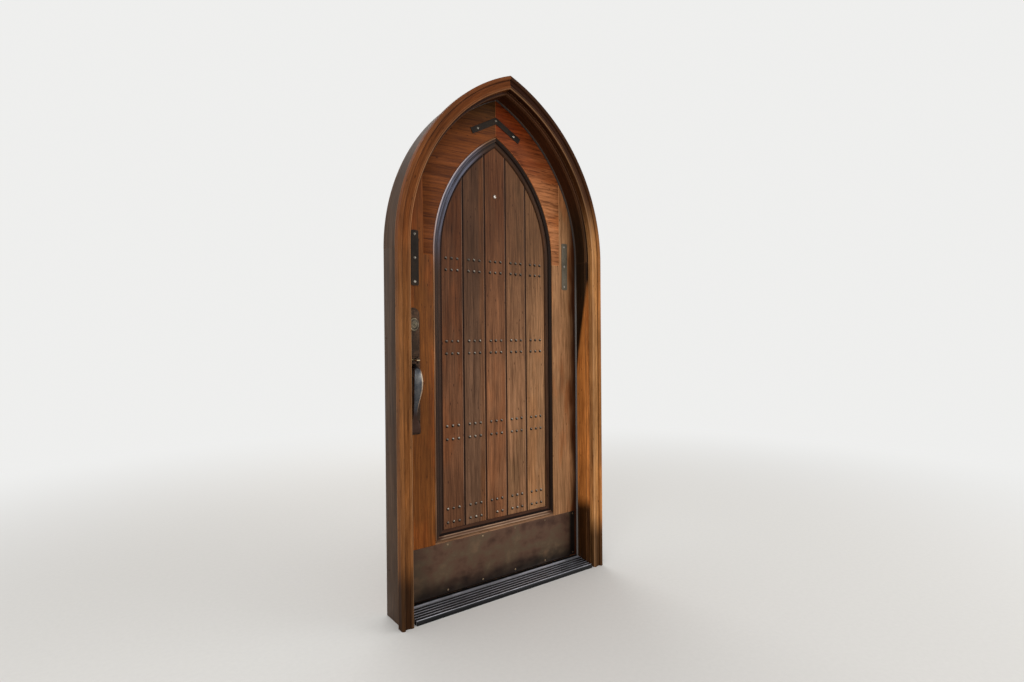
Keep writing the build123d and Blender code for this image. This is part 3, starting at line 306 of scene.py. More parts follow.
def arch_sweep(profile, side, foot=None, arc=True, leg_steps=40, arc_steps=72, wear=None):
    """A section of half widths and depths carried up a leg, round the arc about its offset centre, or both.

    On the leg a point keeps its half width. On the arc it turns about the centre that lies ARC_OFFSET past
    the middle, until the turn whose cosine is ARC_OFFSET over its own radius brings it to the middle.
    """
    half, depth = profile[:, 0], profile[:, 1]
    fibre_turn = 0.72
    rows = []
    if foot is not None:
        step = np.linspace(0, 1, leg_steps)[:, None]
        low = np.broadcast_to(foot, half.shape)[None, :]
        rise = low + step * (SPRING - low)
        rows.append((np.broadcast_to(half, rise.shape), rise, rise))
    if arc:
        step = np.linspace(0, 1, arc_steps)[:, None]
        step = step if foot is None else step[1:]
        radius = half + ARC_OFFSET
        turn = step * np.arccos(ARC_OFFSET / radius)[None, :]
        rise = SPRING + radius * np.sin(turn)
        rows.append((radius * np.cos(turn) - ARC_OFFSET, rise, SPRING + fibre_turn * turn))
    across, height, along = (np.concatenate(kind) for kind in zip(*rows))
    across = side * across
    deep = np.broadcast_to(depth, across.shape)
    grain = np.stack((side * np.broadcast_to(half, across.shape), deep, along), axis=-1)
    worn = None if wear is None else np.broadcast_to(wear, across.shape)
    return tube(np.stack((across, deep, height), axis=-1), grain, worn)


def lathe(radii, heights, segments, place, axis=(0, -1, 0), **more):
    """A profile of radii and heights turned about an axis through a place."""
    turn = np.linspace(0, 2 * np.pi, segments, endpoint=False)
    radii, heights = np.asarray(radii, float)[:, None], np.asarray(heights, float)[:, None]
    across, upright = radii * np.cos(turn), radii * np.sin(turn)
    out = np.broadcast_to(heights, across.shape)
    axis = np.asarray(axis, float)
    side = np.array((1.0, 0, 0)) if abs(axis[0]) < 0.5 else np.array((0, 1.0, 0))
    points = across[..., None] * side + upright[..., None] * np.cross(axis, side) + out[..., None] * axis
    return tube(points + np.asarray(place, float), **more)


def waves(a, b, seed, count=5):
    """A gentle uneven surface: the mean of a few sines that run in seeded directions."""
    draw = np.random.default_rng(seed)
    total = 0
    for _ in range(count):
        fa, fb, phase = draw.uniform(0.5, 1.6), draw.uniform(0.5, 1.6), draw.uniform(0, 6.28)
        total = total + np.sin(2 * np.pi * (a * fa + b * fb) + phase)
    return total / count


def dents(a, b, seed, count, span_a, span_b, radius, depth):
    """Shallow round hammer marks: each takes a smooth bell off the surface about its seeded middle."""
    draw = np.random.default_rng(seed)
    middle_a = draw.uniform(*span_a, count)
    middle_b = draw.uniform(*span_b, count)
    size = draw.uniform(0.6, 1.3, count) * radius
    low = draw.uniform(0.4, 1.0, count) * depth
    far = (a[..., None] - middle_a) ** 2 + (b[..., None] - middle_b) ** 2
    return -(low * np.exp(-far / size**2)).max(axis=-1)


def power(base, exponent):
    """A power that keeps the sign of its base, which makes a circle's sine and cosine squarer."""
    return np.sign(base) * np.abs(base) ** exponent


# Materials


class Flow:
    """A value, vector or colour on its way through a material, which is written in sums like a number."""

    def __init__(self, graph, socket):
        self.graph = graph
        self.socket = socket

    def join(self, operation, other, output=0):
        """Vector maths with three numbers or where this is a vector, and plain maths otherwise."""
        vector = self.socket.type == "VECTOR" or isinstance(other, tuple)
        made = self.graph.node("VectorMath" if vector else "Math", {"operation": operation})
        self.graph.feed(made.inputs[0], self)
        self.graph.feed(made.inputs[1], other)
        return Flow(self.graph, made.outputs[output])

    def __add__(self, other):
        return self.join("ADD", other)

    def __sub__(self, other):
        return self.join("SUBTRACT", other)

    def __mul__(self, other):
        return self.join("MULTIPLY", other)


class Graph:
    """Short way to write the nodes of a material or of the world."""

    def __init__(self, name, kind="materials"):
        self.owner = getattr(bpy.data, kind).new(name)
        self.owner.use_nodes = True
        self.tree = self.owner.node_tree
        self.tree.nodes.clear()

    def feed(self, socket, value):
        """Links an output to a socket, or writes a number, vector or colour on it."""
        value = value.socket if isinstance(value, Flow) else value
        if isinstance(value, bpy.types.NodeSocket):
            self.tree.links.new(value, socket)
        else:
            if hasattr(value, "__len__") and len(value) == 3 and len(socket.default_value) == 4:
                value = (*value, 1.0)
            socket.default_value = value

    def node(self, kind, settings=None, **inputs):
        """A new node with its settings, and with its inputs fed by name."""
        made = self.tree.nodes.new("ShaderNode" + kind)
        for key, value in (settings or {}).items():
            setattr(made, key, value)
        for key, value in inputs.items():
            self.feed(made.inputs[key.replace("_", " ")], value)
        return made

    def pick(self, output, kind, settings=None, **inputs):
        """One output of a new node."""
        return Flow(self, self.node(kind, settings, **inputs).outputs[output])

    def attribute(self, name, vector=True):
        """What a mesh keeps for each point under a name."""
        return self.pick("Vector" if vector else "Fac", "Attribute", {"attribute_name": name})

    def object_place(self):
        """The point's place in the model."""
        return self.pick("Object", "TexCoord")

    def axis(self, vector, name):
        """One of the three parts of a vector."""
        return self.pick(name, "SeparateXYZ", Vector=vector)

    def math(self, operation, *values, clamp=False):
        """Plain maths on one or two values."""
        made = self.node("Math", {"operation": operation, "use_clamp": clamp})
        for socket, value in zip(made.inputs, values):
            self.feed(socket, value)
        return Flow(self, made.outputs[0])

    def remap(self, value, low, high, to_low=0.0, to_high=1.0):
        """A smooth step from one level to another while the value goes from low to high."""
        made = self.node("MapRange", {"interpolation_type": "SMOOTHSTEP"}, Value=value)
        for index, number in enumerate((low, high, to_low, to_high), start=1):
            made.inputs[index].default_value = number
        return Flow(self, made.outputs[0])

    def noise(self, vector, scale, detail=3.0, rough=0.55, stretch=None, output="Fac"):
        """Noise of a scale, drawn out along the axes whose stretch is small."""
        vector = vector * stretch if stretch else vector
        return self.pick(output, "TexNoise", Vector=vector, Scale=scale, Detail=detail, Roughness=rough)

    def mix(self, factor, first, second, blend="MIX"):
        """Two colours laid over each other by a factor."""
        made = self.node("Mix", {"data_type": "RGBA", "blend_type": blend})
        for index, value in ((0, factor), (6, first), (7, second)):
            self.feed(made.inputs[index], value)
        return Flow(self, made.outputs[2])

    def tint(self, colour, tone, other, factor):
        """Carries a colour drawn about one tone over to another tone, with its grain kept."""
        ratio = tuple(o / max(t, 1e-4) for o, t in zip(other, tone))
        level = max(max(ratio), 1.0)
        shown = self.mix(1.0, colour, tuple(r / level for r in ratio), "MULTIPLY")
        lit = self.pick("Vector", "VectorMath", {"operation": "SCALE"}, Vector=shown, Scale=level)
        return self.mix(factor, colour, lit)

    def ramp(self, factor, *stops):
        """Colours at their places along a factor."""
        made = self.node("ValToRGB", Fac=factor)
        elements = made.color_ramp.elements
        while len(elements) < len(stops):
            elements.new(0.5)
        for element, (place, colour) in zip(elements, stops):
            element.position = place
            element.color = (*colour, 1.0)
        return Flow(self, made.outputs["Color"])

    def blend(self, factor, first, second):
        """Two shaders laid over each other by a factor."""
        made = self.node("MixShader")
        for socket, value in zip(made.inputs, (factor, first.outputs[0], second.outputs[0])):
            self.feed(socket, value)
        return made

    def finish(self, shader, kind="OutputMaterial"):
        """Ends the graph in its output and gives the material or world."""
        self.feed(self.node(kind).inputs["Surface"], shader.outputs[0])
        return self.owner

    def surface(self, colour, roughness, height=None, bump=0.0, strength=0.5, **sockets):
        """Ends the graph in the standard shader, with a bump where a height is given."""
        shader = self.node("BsdfPrincipled", Roughness=roughness, Base_Color=colour, **sockets)
        if height is not None:
            made = self.node("Bump", Height=height, Distance=bump, Strength=strength)
            self.feed(shader.inputs["Normal"], made.outputs["Normal"])
        return self.finish(shader)


def wood(
    name, tone, patch, seed, curl=0.0, share=0.5, rough=0.5, edge=None, tints=(), pale=None, painted_sheen=None,
    spec=0.09, shadow_hem=None, behind=None,
):
    """Oiled wood on the grain attribute, whose Z runs along the fibres.

    Three noises stretched along the fibres make broad bands, streaks and fine fibres. Long thin cells are the
    pores and wider ones the dark flecks. A slow noise picks where the patch colour shows. curl adds dark wavy
    streaks, and edge brings the patch in towards one side of a board.

    Each tint carries the wood over from one tone to another between two places: along an axis, along a
    slanting way given by three weights, or by the half width in the grain. behind makes tints along an axis
    or a way fade out past a depth, and past a half width if it gives one.

    hem draws a painted shadow line inside an arch of that half width: the distance to it is the half width
    less how far a point lies from the arc's centre. bloom is a painted bluish reflection on the left side
    between two heights. The wear attribute bares the arrises where it is above nought, and on the planks
    stands for a painted highlight there; where it is below nought it darkens the corners, by soiling and by
    painted shade.
    """
    g = Graph(name)
    local, place = g.attribute("grain"), g.object_place()
    x, depth, height = (g.axis(place, axis) for axis in "XYZ")
    dirt_and_shade = scaled(tone, *DIRT_AND_SHADE)

    # Fibres
    grain = local + (seed * 1.37, seed * 2.11, seed * 0.83)
    drift = g.noise(grain, 4.0, 2.0, stretch=(1, 1, 0.35), output="Color")
    bent = grain + (drift - (0.5, 0.5, 0.5)) * (0.045, 0.02, 0.0)
    broad = g.noise(bent, 34.0, 3.0, 0.5, (1, 1, 0.05))
    narrow = g.noise(bent, 165.0, 4.0, 0.65, (1, 1, 0.03))
    fibre = g.noise(bent, 520.0, 3.0, 0.6, (1, 1, 0.035))
    weave = broad * 0.26 + narrow * 0.46 + fibre * 0.28
    if curl:
        flame = g.noise(bent, 1.0, 4.0, 0.65, (105.0, 20.0, 9.0))
        weave = weave - g.remap(flame, 0.50, 0.64) * (0.15 * curl)
    colour = g.ramp(
        weave,
        (0.37, scaled(tone, 0.36, 0.31, 0.28)),
        (0.46, scaled(tone, 0.78, 0.75, 0.72)),
        (0.53, scaled(tone, 1.06)),
        (0.64, scaled(tone, 1.66, 1.64, 1.60)),
    )

    # Patches and tints
    blotch = g.noise(bent, 11.0, 3.0, stretch=(1, 1, 0.22))
    where = g.remap(blotch, 0.60 - 0.2 * share, 0.72 - 0.2 * share)
    if edge is not None:
        where = (where * 0.5 + 0.5) * g.remap(g.axis(local, "X"), *edge)
    colour = g.tint(colour, tone, patch, where * 0.85)
    beside = g.math("ABSOLUTE", g.axis(local, "X"))
    shown = 1.0
    if behind is not None:
        back, half = behind
        shown = g.remap(depth, back - 0.01, back, 1.0, 0.0)
        if half:
            shown = shown * g.remap(beside, half, half + 0.008, 1.0, 0.0)
    for way, near, far, start, other in tints:
        if way == "half":
            factor = g.remap(beside, near, far)
        else:
            slanting = isinstance(way, tuple)
            along = place.join("DOT_PRODUCT", way, "Value") if slanting else g.axis(place, way)
            factor = g.remap(along + (blotch - 0.5) * 0.1, near, far) * shown
        colour = g.tint(colour, start, other, factor)
    blot = g.remap(g.noise(grain, 3.1, 3.0), 0.35, 0.66, 0.86, 1.12)
    colour = g.mix(1.0, colour, g.pick("Vector", "CombineXYZ", X=blot, Y=blot, Z=blot), "MULTIPLY")

    # Pores and flecks
    cells = g.pick("Distance", "TexVoronoi", Vector=bent * (1, 1, 0.1), Scale=430.0)
    pores = g.remap(cells, 0.1, 0.24, 1.0, 0.0) * g.remap(narrow, 0.42, 0.6)
    spots = g.node("TexVoronoi", Vector=bent * (1, 1, 0.3), Scale=74.0)
    chosen = g.remap(g.axis(spots.outputs["Color"], "X"), 0.60, 0.64)
    flecks = g.remap(spots.outputs["Distance"], 0.08, 0.18, 1.0, 0.0) * chosen
    marks = g.math("MAXIMUM", pores * 0.6, flecks * 0.75)
    colour = g.mix(marks, colour, scaled(tone, 0.14, 0.11, 0.10))

    # Painted sheen, the painted shadow line inside the arch, bare or highlighted arrises, and dark corners of
    # dirt and painted shade
    # Painted reflection: a bluish sheen on the left side between two heights
    if painted_sheen is not None:
        sheen_colour, low, high = painted_sheen
        band = g.remap(height, low, low + 0.3) * g.remap(height, high - 0.1, high, 1.0, 0.0)
        band = band * g.remap(x, -0.16, -0.04, 1.0, 0.0)
        colour = g.mix(band * g.remap(narrow, 0.35, 0.6, 0.35, 0.9), colour, sheen_colour)
    # Painted shadow: a dark line on the planks just inside the moulding, set further in on the left
    if shadow_hem is not None:
        aside = g.math("ABSOLUTE", x) + ARC_OFFSET
        over = g.math("MAXIMUM", height - SPRING, 0.0)
        radius = g.math("SQRT", g.math("POWER", aside, 2.0) + g.math("POWER", over, 2.0))
        lip = g.remap(x, -0.06, 0.0, 0.006, 0.0)
        inside = g.math("SUBTRACT", shadow_hem + ARC_OFFSET, radius) - lip
        colour = g.mix(g.remap(inside, 0.0012, 0.0034, 0.94, 0.0), colour, dirt_and_shade)
    wear = g.attribute("wear", False)
    pale = scaled(tone, 2.1, 2.0, 1.9) if pale is None else pale
    bare = g.remap(wear, 0.1, 1.0) * g.remap(blotch, 0.36, 0.6, 0.45, 1.0)
    colour = g.mix(bare, colour, g.mix(0.5, pale, g.tint(colour, tone, pale, 1.0)))
    # Below nought the wear darkens corners and joints with dirt and painted shade
    colour = g.mix(g.remap(wear, -0.8, -0.05, 0.95, 0.0), colour, dirt_and_shade)
    relief = fibre * 0.5 + narrow * 0.5 - marks
    return g.surface(colour, fibre * 0.3 + (rough - 0.13), relief, 0.0003, Specular_IOR_Level=spec)


def metal(name, tone, spots, seed, rough=0.42, metallic=1.0, worn=None, scale=1.0, bump=0.0003, below=None):
    """Aged metal on object coordinates: two noises mottle it, a third makes fine scratches, and wear bares
    it; on the studs and grip, and in part on the thumb-piece, the wear carries a painted highlight.

    below gives the duller tone that it has under a height, and where that begins and ends.
    """
    g = Graph(name)
    place = g.object_place()
    moved = place + (seed * 0.71, seed * 0.37, seed * 1.13)
    big = g.noise(moved, 14.0 * scale, 4.0, 0.6)
    small = g.noise(moved, 120.0 * scale, 4.0, 0.65)
    fine = g.noise(moved, 700.0, 2.0, stretch=(1, 1, 6))
    stops = (0.32, scaled(tone, 0.5)), (0.47, tone), (0.58, spots), (0.70, scaled(spots, 1.35))
    colour = g.ramp(big * 0.62 + small * 0.38, *stops)
    if below is not None:
        dull, low, high = below
        colour = g.mix(g.remap(g.axis(place, "Z"), high, low, 0.0, 0.9), colour, dull)
    if worn is not None:
        rubbed = g.remap(small, 0.3, 0.6, 0.45, 1.0)
        wear = g.math("MULTIPLY", g.attribute("wear", False), rubbed, clamp=True)
        colour = g.mix(wear, colour, worn)
    return g.surface(colour, small * 0.3 + (rough - 0.13), small * 0.7 + fine * 0.3, bump, Metallic=metallic)


# Settings that a user would change


def colour_property(label, text, default):
    """A colour with its name and description."""
    return bpy.props.FloatVectorProperty(
        name=label, description=text, subtype="COLOR", size=3, min=0.0, max=1.0, default=default
    )


def number_property(label, text, default, **more):
    """A number with its name and description."""
    return bpy.props.FloatProperty(name=label, description=text, default=default, **more)


def length_property(label, text, default):
    """A length in metres with its name and description."""
    return number_property(label, text, default, min=0.0, unit="LENGTH", precision=5)


class ArchedDoorSizes(bpy.types.PropertyGroup):
    arris: length_property("Arris", "How far the wooden members' long edges are eased", 0.0007)
    plank_wear: length_property("Plank wear", "Height of the uneven worn surface of the planks", 0.00022)
    plank_edge: length_property("Plank edge", "Width of the V beside each plank", 0.003)
    stud_radius: length_property("Stud radius", "Radius of a stud's head", 0.006)
    stud_rise: length_property("Stud rise", "How far a stud stands above its plank", 0.0042)
    stud_tilt: number_property("Stud tilt", "Most that a stud leans", radians(5), subtype="ANGLE")
    hammer_depth: length_property("Hammer marks", "Depth of the marks on the forged plates", 0.00035)
    kick_wave: length_property("Kick plate wave", "How far the thin plate waves in and out", 0.0005)


class ArchedDoorColours(bpy.types.PropertyGroup):
    # Painted light in these tones: the hinge stile is paler partly through its wood and partly through
    # painted light; the right casing and the jambs carry painted sunlight, and the left casing painted shade
    left_stile: colour_property("Left stile", "Orange-brown wood of the lock stile", shade(110, 64, 26))
    right_stile: colour_property("Right stile", "Paler wood of the hinge stile", shade(150, 108, 73))
    left_head: colour_property("Left head", "Red-brown head block", shade(101, 52, 17))
    right_head: colour_property("Right head", "Curled head block", shade(158, 102, 63))
    plank_1: colour_property("Plank 1", "Plank beside the lock", shade(99, 64, 42))
    plank_2: colour_property("Plank 2", "Grey-brown plank", shade(98, 70, 51))
    plank_3: colour_property("Plank 3", "Reddish middle plank", shade(121, 81, 54))
    plank_4: colour_property("Plank 4", "Brown plank", shade(133, 95, 66))
    plank_5: colour_property("Plank 5", "Palest plank, beside the hinges", shade(141, 103, 71))
    moulding: colour_property("Panel moulding", "Near-black lacquer", shade(46, 32, 23))
    jamb: colour_property("Jambs", "Varnished jamb", shade(178, 111, 54))
    casing: colour_property("Right casing", "Sun-faded casing", shade(166, 117, 70))
    left_casing: colour_property("Left casing", "Casing that the sun reaches less", shade(112, 70, 36))
    iron: colour_property("Iron", "Waxed forged iron", shade(31, 24, 18))
    worn_iron: colour_property("Worn iron", "Grey-green right-hand plate", shade(104, 95, 80))
    kick: colour_property("Kick plate", "Dark bronze", shade(96, 70, 55))
    bronze: colour_property("Lock bronze", "Oil-rubbed bronze", shade(60, 48, 40))
    brass: colour_property("Lock brass", "Tarnished brass", shade(128, 110, 78))
    saddle: colour_property("Threshold", "Dark worn metal", shade(46, 45, 48))
    seal: colour_property("Weather seal", "Grey seal", shade(108, 105, 104))


class ArchedDoorStage(bpy.types.PropertyGroup):
    lens: number_property("Lens", "Focal length on a 36 mm sensor", 20.40, unit="CAMERA")
    yaw: number_property("Yaw", "Way the camera looks, round from +X", radians(53.65), subtype="ANGLE")
    pitch: number_property("Pitch", "Camera's rise", radians(-0.5), subtype="ANGLE")
    roll: number_property("Roll", "Camera's lean", radians(-0.466), subtype="ANGLE")
    eye: bpy.props.FloatVectorProperty(
        name="Eye", description="Where the camera stands", default=(-1.415, -2.027, 1.065), subtype="XYZ",
        unit="LENGTH",
    )
    ambient: number_property("Ambient", "Strength of the even light", 0.68, min=0.0)
    key: number_property("Key", "Power of the large soft lamp", 110.0, unit="POWER")
    fill: number_property("Fill", "Power of the fill lamp", 60.0, unit="POWER")
    back: number_property("Back", "Power of the lamp behind", 70.0, unit="POWER")
    floor: colour_property("Floor", "Pale floor", (0.70, 0.69, 0.67))
    backdrop: colour_property("Backdrop", "Pale background", (0.86, 0.86, 0.85))


def settings():
    """The scene's sizes, colours and stage."""
    scene = bpy.context.scene
    return scene.arched_door_sizes, scene.arched_door_colours, scene.arched_door_stage


# Woodwork


def section_sweep(name, profile, side, material, node, **runs):
    """A piece whose section is carried along the arch."""
    add_piece(name, [arch_sweep(profile, side, **runs)], material, node)


class ARCHEDDOOR_OT_planks(bpy.types.Operator):
    """Five V-jointed planks with worn faces, tongued together and cut to the arch"""

    bl_idname = "arched_door.planks"
    bl_label = "Planks"

    def execute(self, context):
        sizes, colours, _ = settings()
        looks = (
            (shade(106, 64, 38), 0.55, None),
            (shade(120, 78, 48), 0.75, (0.018, 0.036)),
            (shade(124, 79, 50), 0.65, None),
            (shade(124, 90, 62), 0.50, None),
            (shade(146, 102, 66), 0.55, None),
        )
        for number, (patch, share, edge) in enumerate(looks):
            node = "plank_%d" % (number + 1)
            tone = tuple(getattr(colours, node))
            # Painted shade: each plank darkens from Z 0.75 to 1.55, up under the arch
            upper = (("Z", 0.75, 1.55, tone, scaled(tone, 0.52, 0.47, 0.44)),)
            # pale is the colour of the painted highlight on each plank's right arris
            material = wood(
                node + "_wood", tone, patch, 3.0 + 1.7 * number, share=share, edge=edge, tints=upper,
                pale=shade(172, 138, 116), shadow_hem=PANEL,
            )
            add_piece(node + "_face", [self.plank(number, sizes)], material, node)
        return {"FINISHED"}

    def section(self, left, right, low_vee, high_vee):
        """Section of a plank: flat face between two Vs, tongue on the right edge, groove in the left one."""
        middle = (PLANK_FRONT + PLANK_BACK) / 2
        face = np.linspace(left + low_vee, right - high_vee, 26)
        face = np.sort(np.concatenate((face, face[:1] + 0.003, face[-1:] - 0.0025)))
        outline = [(x, PLANK_FRONT) for x in face]
        if high_vee:
            tip, half = right + 0.007, 0.003
            outline += [(right, PLANK_FRONT + high_vee), (right, middle - half), (tip, middle - half)]
            outline += [(tip, middle + half), (right, middle + half), (right, PLANK_BACK - high_vee)]
        outline += [(right - high_vee, PLANK_BACK), (left + low_vee, PLANK_BACK)]
        if low_vee:
            deep, half = left + 0.0078, 0.0032
            outline += [(left, PLANK_BACK - low_vee), (left, middle + half), (deep, middle + half)]
            outline += [(deep, middle - half), (left, middle - half), (left, PLANK_FRONT + low_vee)]
        return eased(np.array(outline), 0.0009)

    def plank(self, number, sizes):
        """The section carried up to the arch: waves lower its face; its joints are darkened by soiling and by
        painted shade, and its right arris beside the V has a painted highlight.
        """
        gap, tuck, steps, shoulder = 0.0002, 0.002, 300, 0.0015
        margin = OPENING - tuck
        left = number * PLANK_PITCH - PANEL + gap if number else -margin
        right = (number + 1) * PLANK_PITCH - PANEL - gap if number < PLANKS - 1 else margin
        low_vee = sizes.plank_edge if number else 0.0
        high_vee = sizes.plank_edge if number < PLANKS - 1 else 0.0
        profile = self.section(left, right, low_vee, high_vee)
        x, y = profile[:, 0], profile[:, 1]
        foot = PANEL_FOOT + tuck
        across = np.broadcast_to(x, (steps, len(profile)))
        deep = np.broadcast_to(y, across.shape)
        height = foot + np.linspace(0, 1, steps)[:, None] * (arch_top(margin, x) - foot)
        front = deep < PLANK_FRONT + 0.0016
        wide = waves(across / 0.03, height / 0.21, 20 + number)
        tight = waves(across / 0.012, height / 0.07, 40 + number)
        deep = deep + front * sizes.plank_wear * (wide + 0.4 * tight + 1.0) * 0.5
        centre = (number + 0.5) * PLANK_PITCH - PANEL
        grain = np.stack((across - centre, deep, height), axis=-1)
        middle, half = (PLANK_FRONT + PLANK_BACK) / 2, (PLANK_BACK - PLANK_FRONT) / 2
        # Sides of the joints: dirt and painted shade; the plank's right arris: a painted highlight; its left
        # arris beside the V: painted shade with dirt
        wear = np.where(np.abs(y - middle) < half - 0.0003, -1.0, 0.0)
        top = y < PLANK_FRONT + 0.0003
        wear = np.where(top & (x > right - high_vee - shoulder), 0.62 if high_vee else 0.0, wear)
        wear = np.where(top & (x < left + low_vee + shoulder), -0.8 if low_vee else 0.0, wear)
        return tube(np.stack((across, deep, height), axis=-1), grain, np.broadcast_to(wear, across.shape))


class ARCHEDDOOR_OT_framing(bpy.types.Operator):
    """Stiles, head blocks and bottom rail, with the fibres along each member"""

    bl_idname = "arched_door.framing"
    bl_label = "Framing"

    def execute(self, context):
        sizes, colours, _ = settings()
        dark, frame_shade, ledge = shade(20, 14, 10), shade(56, 29, 12), shade(128, 96, 72)
        left, right = tuple(colours.left_stile), tuple(colours.right_stile)
        left_head, right_head = tuple(colours.left_head), tuple(colours.right_head)
        # Painted shade: the hinge stile and right head block darken towards the right-hand frame (edge), and
        # both head blocks darken towards the apex
        foot, edge = ("Z", 0.046, 0.036), ("X", 0.385, 0.440)
        tints = {
            "left_stile": ((*foot, left, dark), ("Z", 1.2, 1.7, left, shade(112, 60, 26))),
            "right_stile": ((*edge, right, frame_shade), (*foot, right, dark)),
            "left_head": (("Z", 1.86, 2.03, left_head, shade(72, 44, 20)),),
            "right_head": (
                ("Z", 1.58, 1.98, right_head, shade(116, 50, 18)),
                (*edge, right_head, frame_shade),
            ),
            "bottom_rail": ((*foot, ledge, dark),),
        }
        members = (
            ("left_stile", left, shade(132, 72, 28), "z", 0.0, 11.0, 0.55),
            ("right_stile", right, shade(156, 100, 60), "z", 0.0, 12.3, 0.5),
            ("left_head", left_head, shade(112, 60, 26), "x", 0.25, 14.1, 0.5),
            ("right_head", right_head, shade(146, 84, 44), "x", 0.75, 15.7, 0.5),
            ("bottom_rail", ledge, shade(138, 106, 80), "x", 0.0, 17.2, 0.4),
        )
        for node, tone, patch, along, curl, seed, share in members:
            material = wood(
                node + "_wood", tone, patch, seed, curl=curl, share=share, tints=tints[node],
                behind=(0.03, None),
            )
            worked_copy(node, material, along, sizes.arris)
        return {"FINISHED"}


class ARCHEDDOOR_OT_moulding(bpy.types.Operator):
    """Stepped black moulding round the panel, mitred at the lower corners"""

    bl_idname = "arched_door.moulding"
    bl_label = "Panel moulding"

    def profile(self):
        """Section of the moulding, from inset and height above the planks in millimetres."""
        inset, height = np.array(
            (
                (0, 0), (0, 4), (2.5, 4), (2.5, 10.4), (3.4, 12), (9.5, 12), (10.2, 11.3), (11.4, 11.3),
                (12.1, 12), (16.6, 12), (18.6, 10.2), (19, 9.4), (19, 6.5), (24, 6.5), (24.6, 6), (25.6, 6),
                (26.2, 6.5), (33, 6.5), (36.9, 3.9), (37.5, 3.25), (37.5, 0),
            )
        ).T * 0.001
        return eased(np.stack((OPENING - inset, PLANK_FRONT - height), axis=1), 0.0006)

    def execute(self, context):
        _, colours, _ = settings()
        tone = tuple(colours.moulding)
        worn, low = scaled(tone, 1.35, 1.25, 1.2), scaled(tone, 2.0, 1.7, 1.35)
        steps = (("half", 0.284, 0.289, low, scaled(tone, 0.42, 0.37, 0.32)),)
        looks = {"pale": shade(198, 142, 98), "rough": 0.46}
        lacquers = {
            # The left lacquer carries a painted bluish reflection up the left arc
            "left": wood(
                "left_moulding_lacquer", worn, scaled(worn, 1.3, 1.2, 1.1), 21.0, spec=0.14,
                painted_sheen=(shade(98, 101, 118), 1.30, 1.98), **looks
            ),
            "right": wood(
                "right_moulding_lacquer", low, scaled(low, 1.3, 1.15, 1.0), 23.0, spec=0.08, tints=steps,
                **looks
            ),
        }
        profile = shouldered(self.profile(), 0.0018)
        inset = OPENING - profile[:, 0]
        rubbed = rub(profile)
        outer = profile[:, 0] > OPENING - 0.006
        lower = profile[:, 0] < OPENING - 0.019
        held = np.where(lower, rubbed - 0.3, rubbed)
        wears = {
            "left": np.where(rubbed > 0, rubbed * np.where(outer, 0.75, 0.25), held),
            "right": np.where(rubbed > 0, rubbed * np.where(outer, 0.38, 0.2), rubbed),
        }
        foot = PANEL_FOOT + inset
        for side, word in SIDES:
            for part, run in (("panel", {"foot": foot, "arc": False}), ("head", {"arc_steps": 90})):
                node = "%s_%s_moulding" % (word, part)
                section_sweep(node + "_run", profile, side, lacquers[word], node, wear=wears[word], **run)
        self.worn_foot(profile, foot, inset, tone)
        return {"FINISHED"}

    def worn_foot(self, profile, foot, inset, tone):
        """The level run: its upper band is rubbed to bare wood, and the step below it is dark with a painted
        shadow.
        """
        across = np.linspace(-1, 1, 120)[:, None] * profile[:, 0]
        deep = np.broadcast_to(profile[:, 1], across.shape)
        height = np.broadcast_to(foot, across.shape)
        upper = (0, 0.0025, 0.0045, 0.008, 0.0145, 0.0168, 0.019), (-0.3, 0.8, 1.0, 0.34, 0.32, 0.9, 0.1)
        # The step below the upper band is near black, a painted shadow; the lower band is a little darker
        lower = (0.019, 0.025, 0.028, 0.0375), (-1, -0.95, -0.15, -0.3)
        wear = np.where(inset > 0.0188, np.interp(inset, *lower), np.interp(inset, *upper))
        corner = np.clip((np.abs(across) - profile[:, 0] + 0.03) / 0.02, 0, 1)
        wear = wear * (1 - 0.6 * corner * (wear > 0))
        tone = scaled(tone, 2.0, 1.5, 1.3)
        material = wood("moulding_foot_worn", tone, scaled(tone, 1.3), 22.0, pale=shade(196, 162, 134))
        grain = np.stack((height, deep, across), axis=-1)
        shell = tube(np.stack((across, deep, height), axis=-1), grain, wear)
        add_piece("bottom_moulding_run", [shell], material, "bottom_panel_moulding")


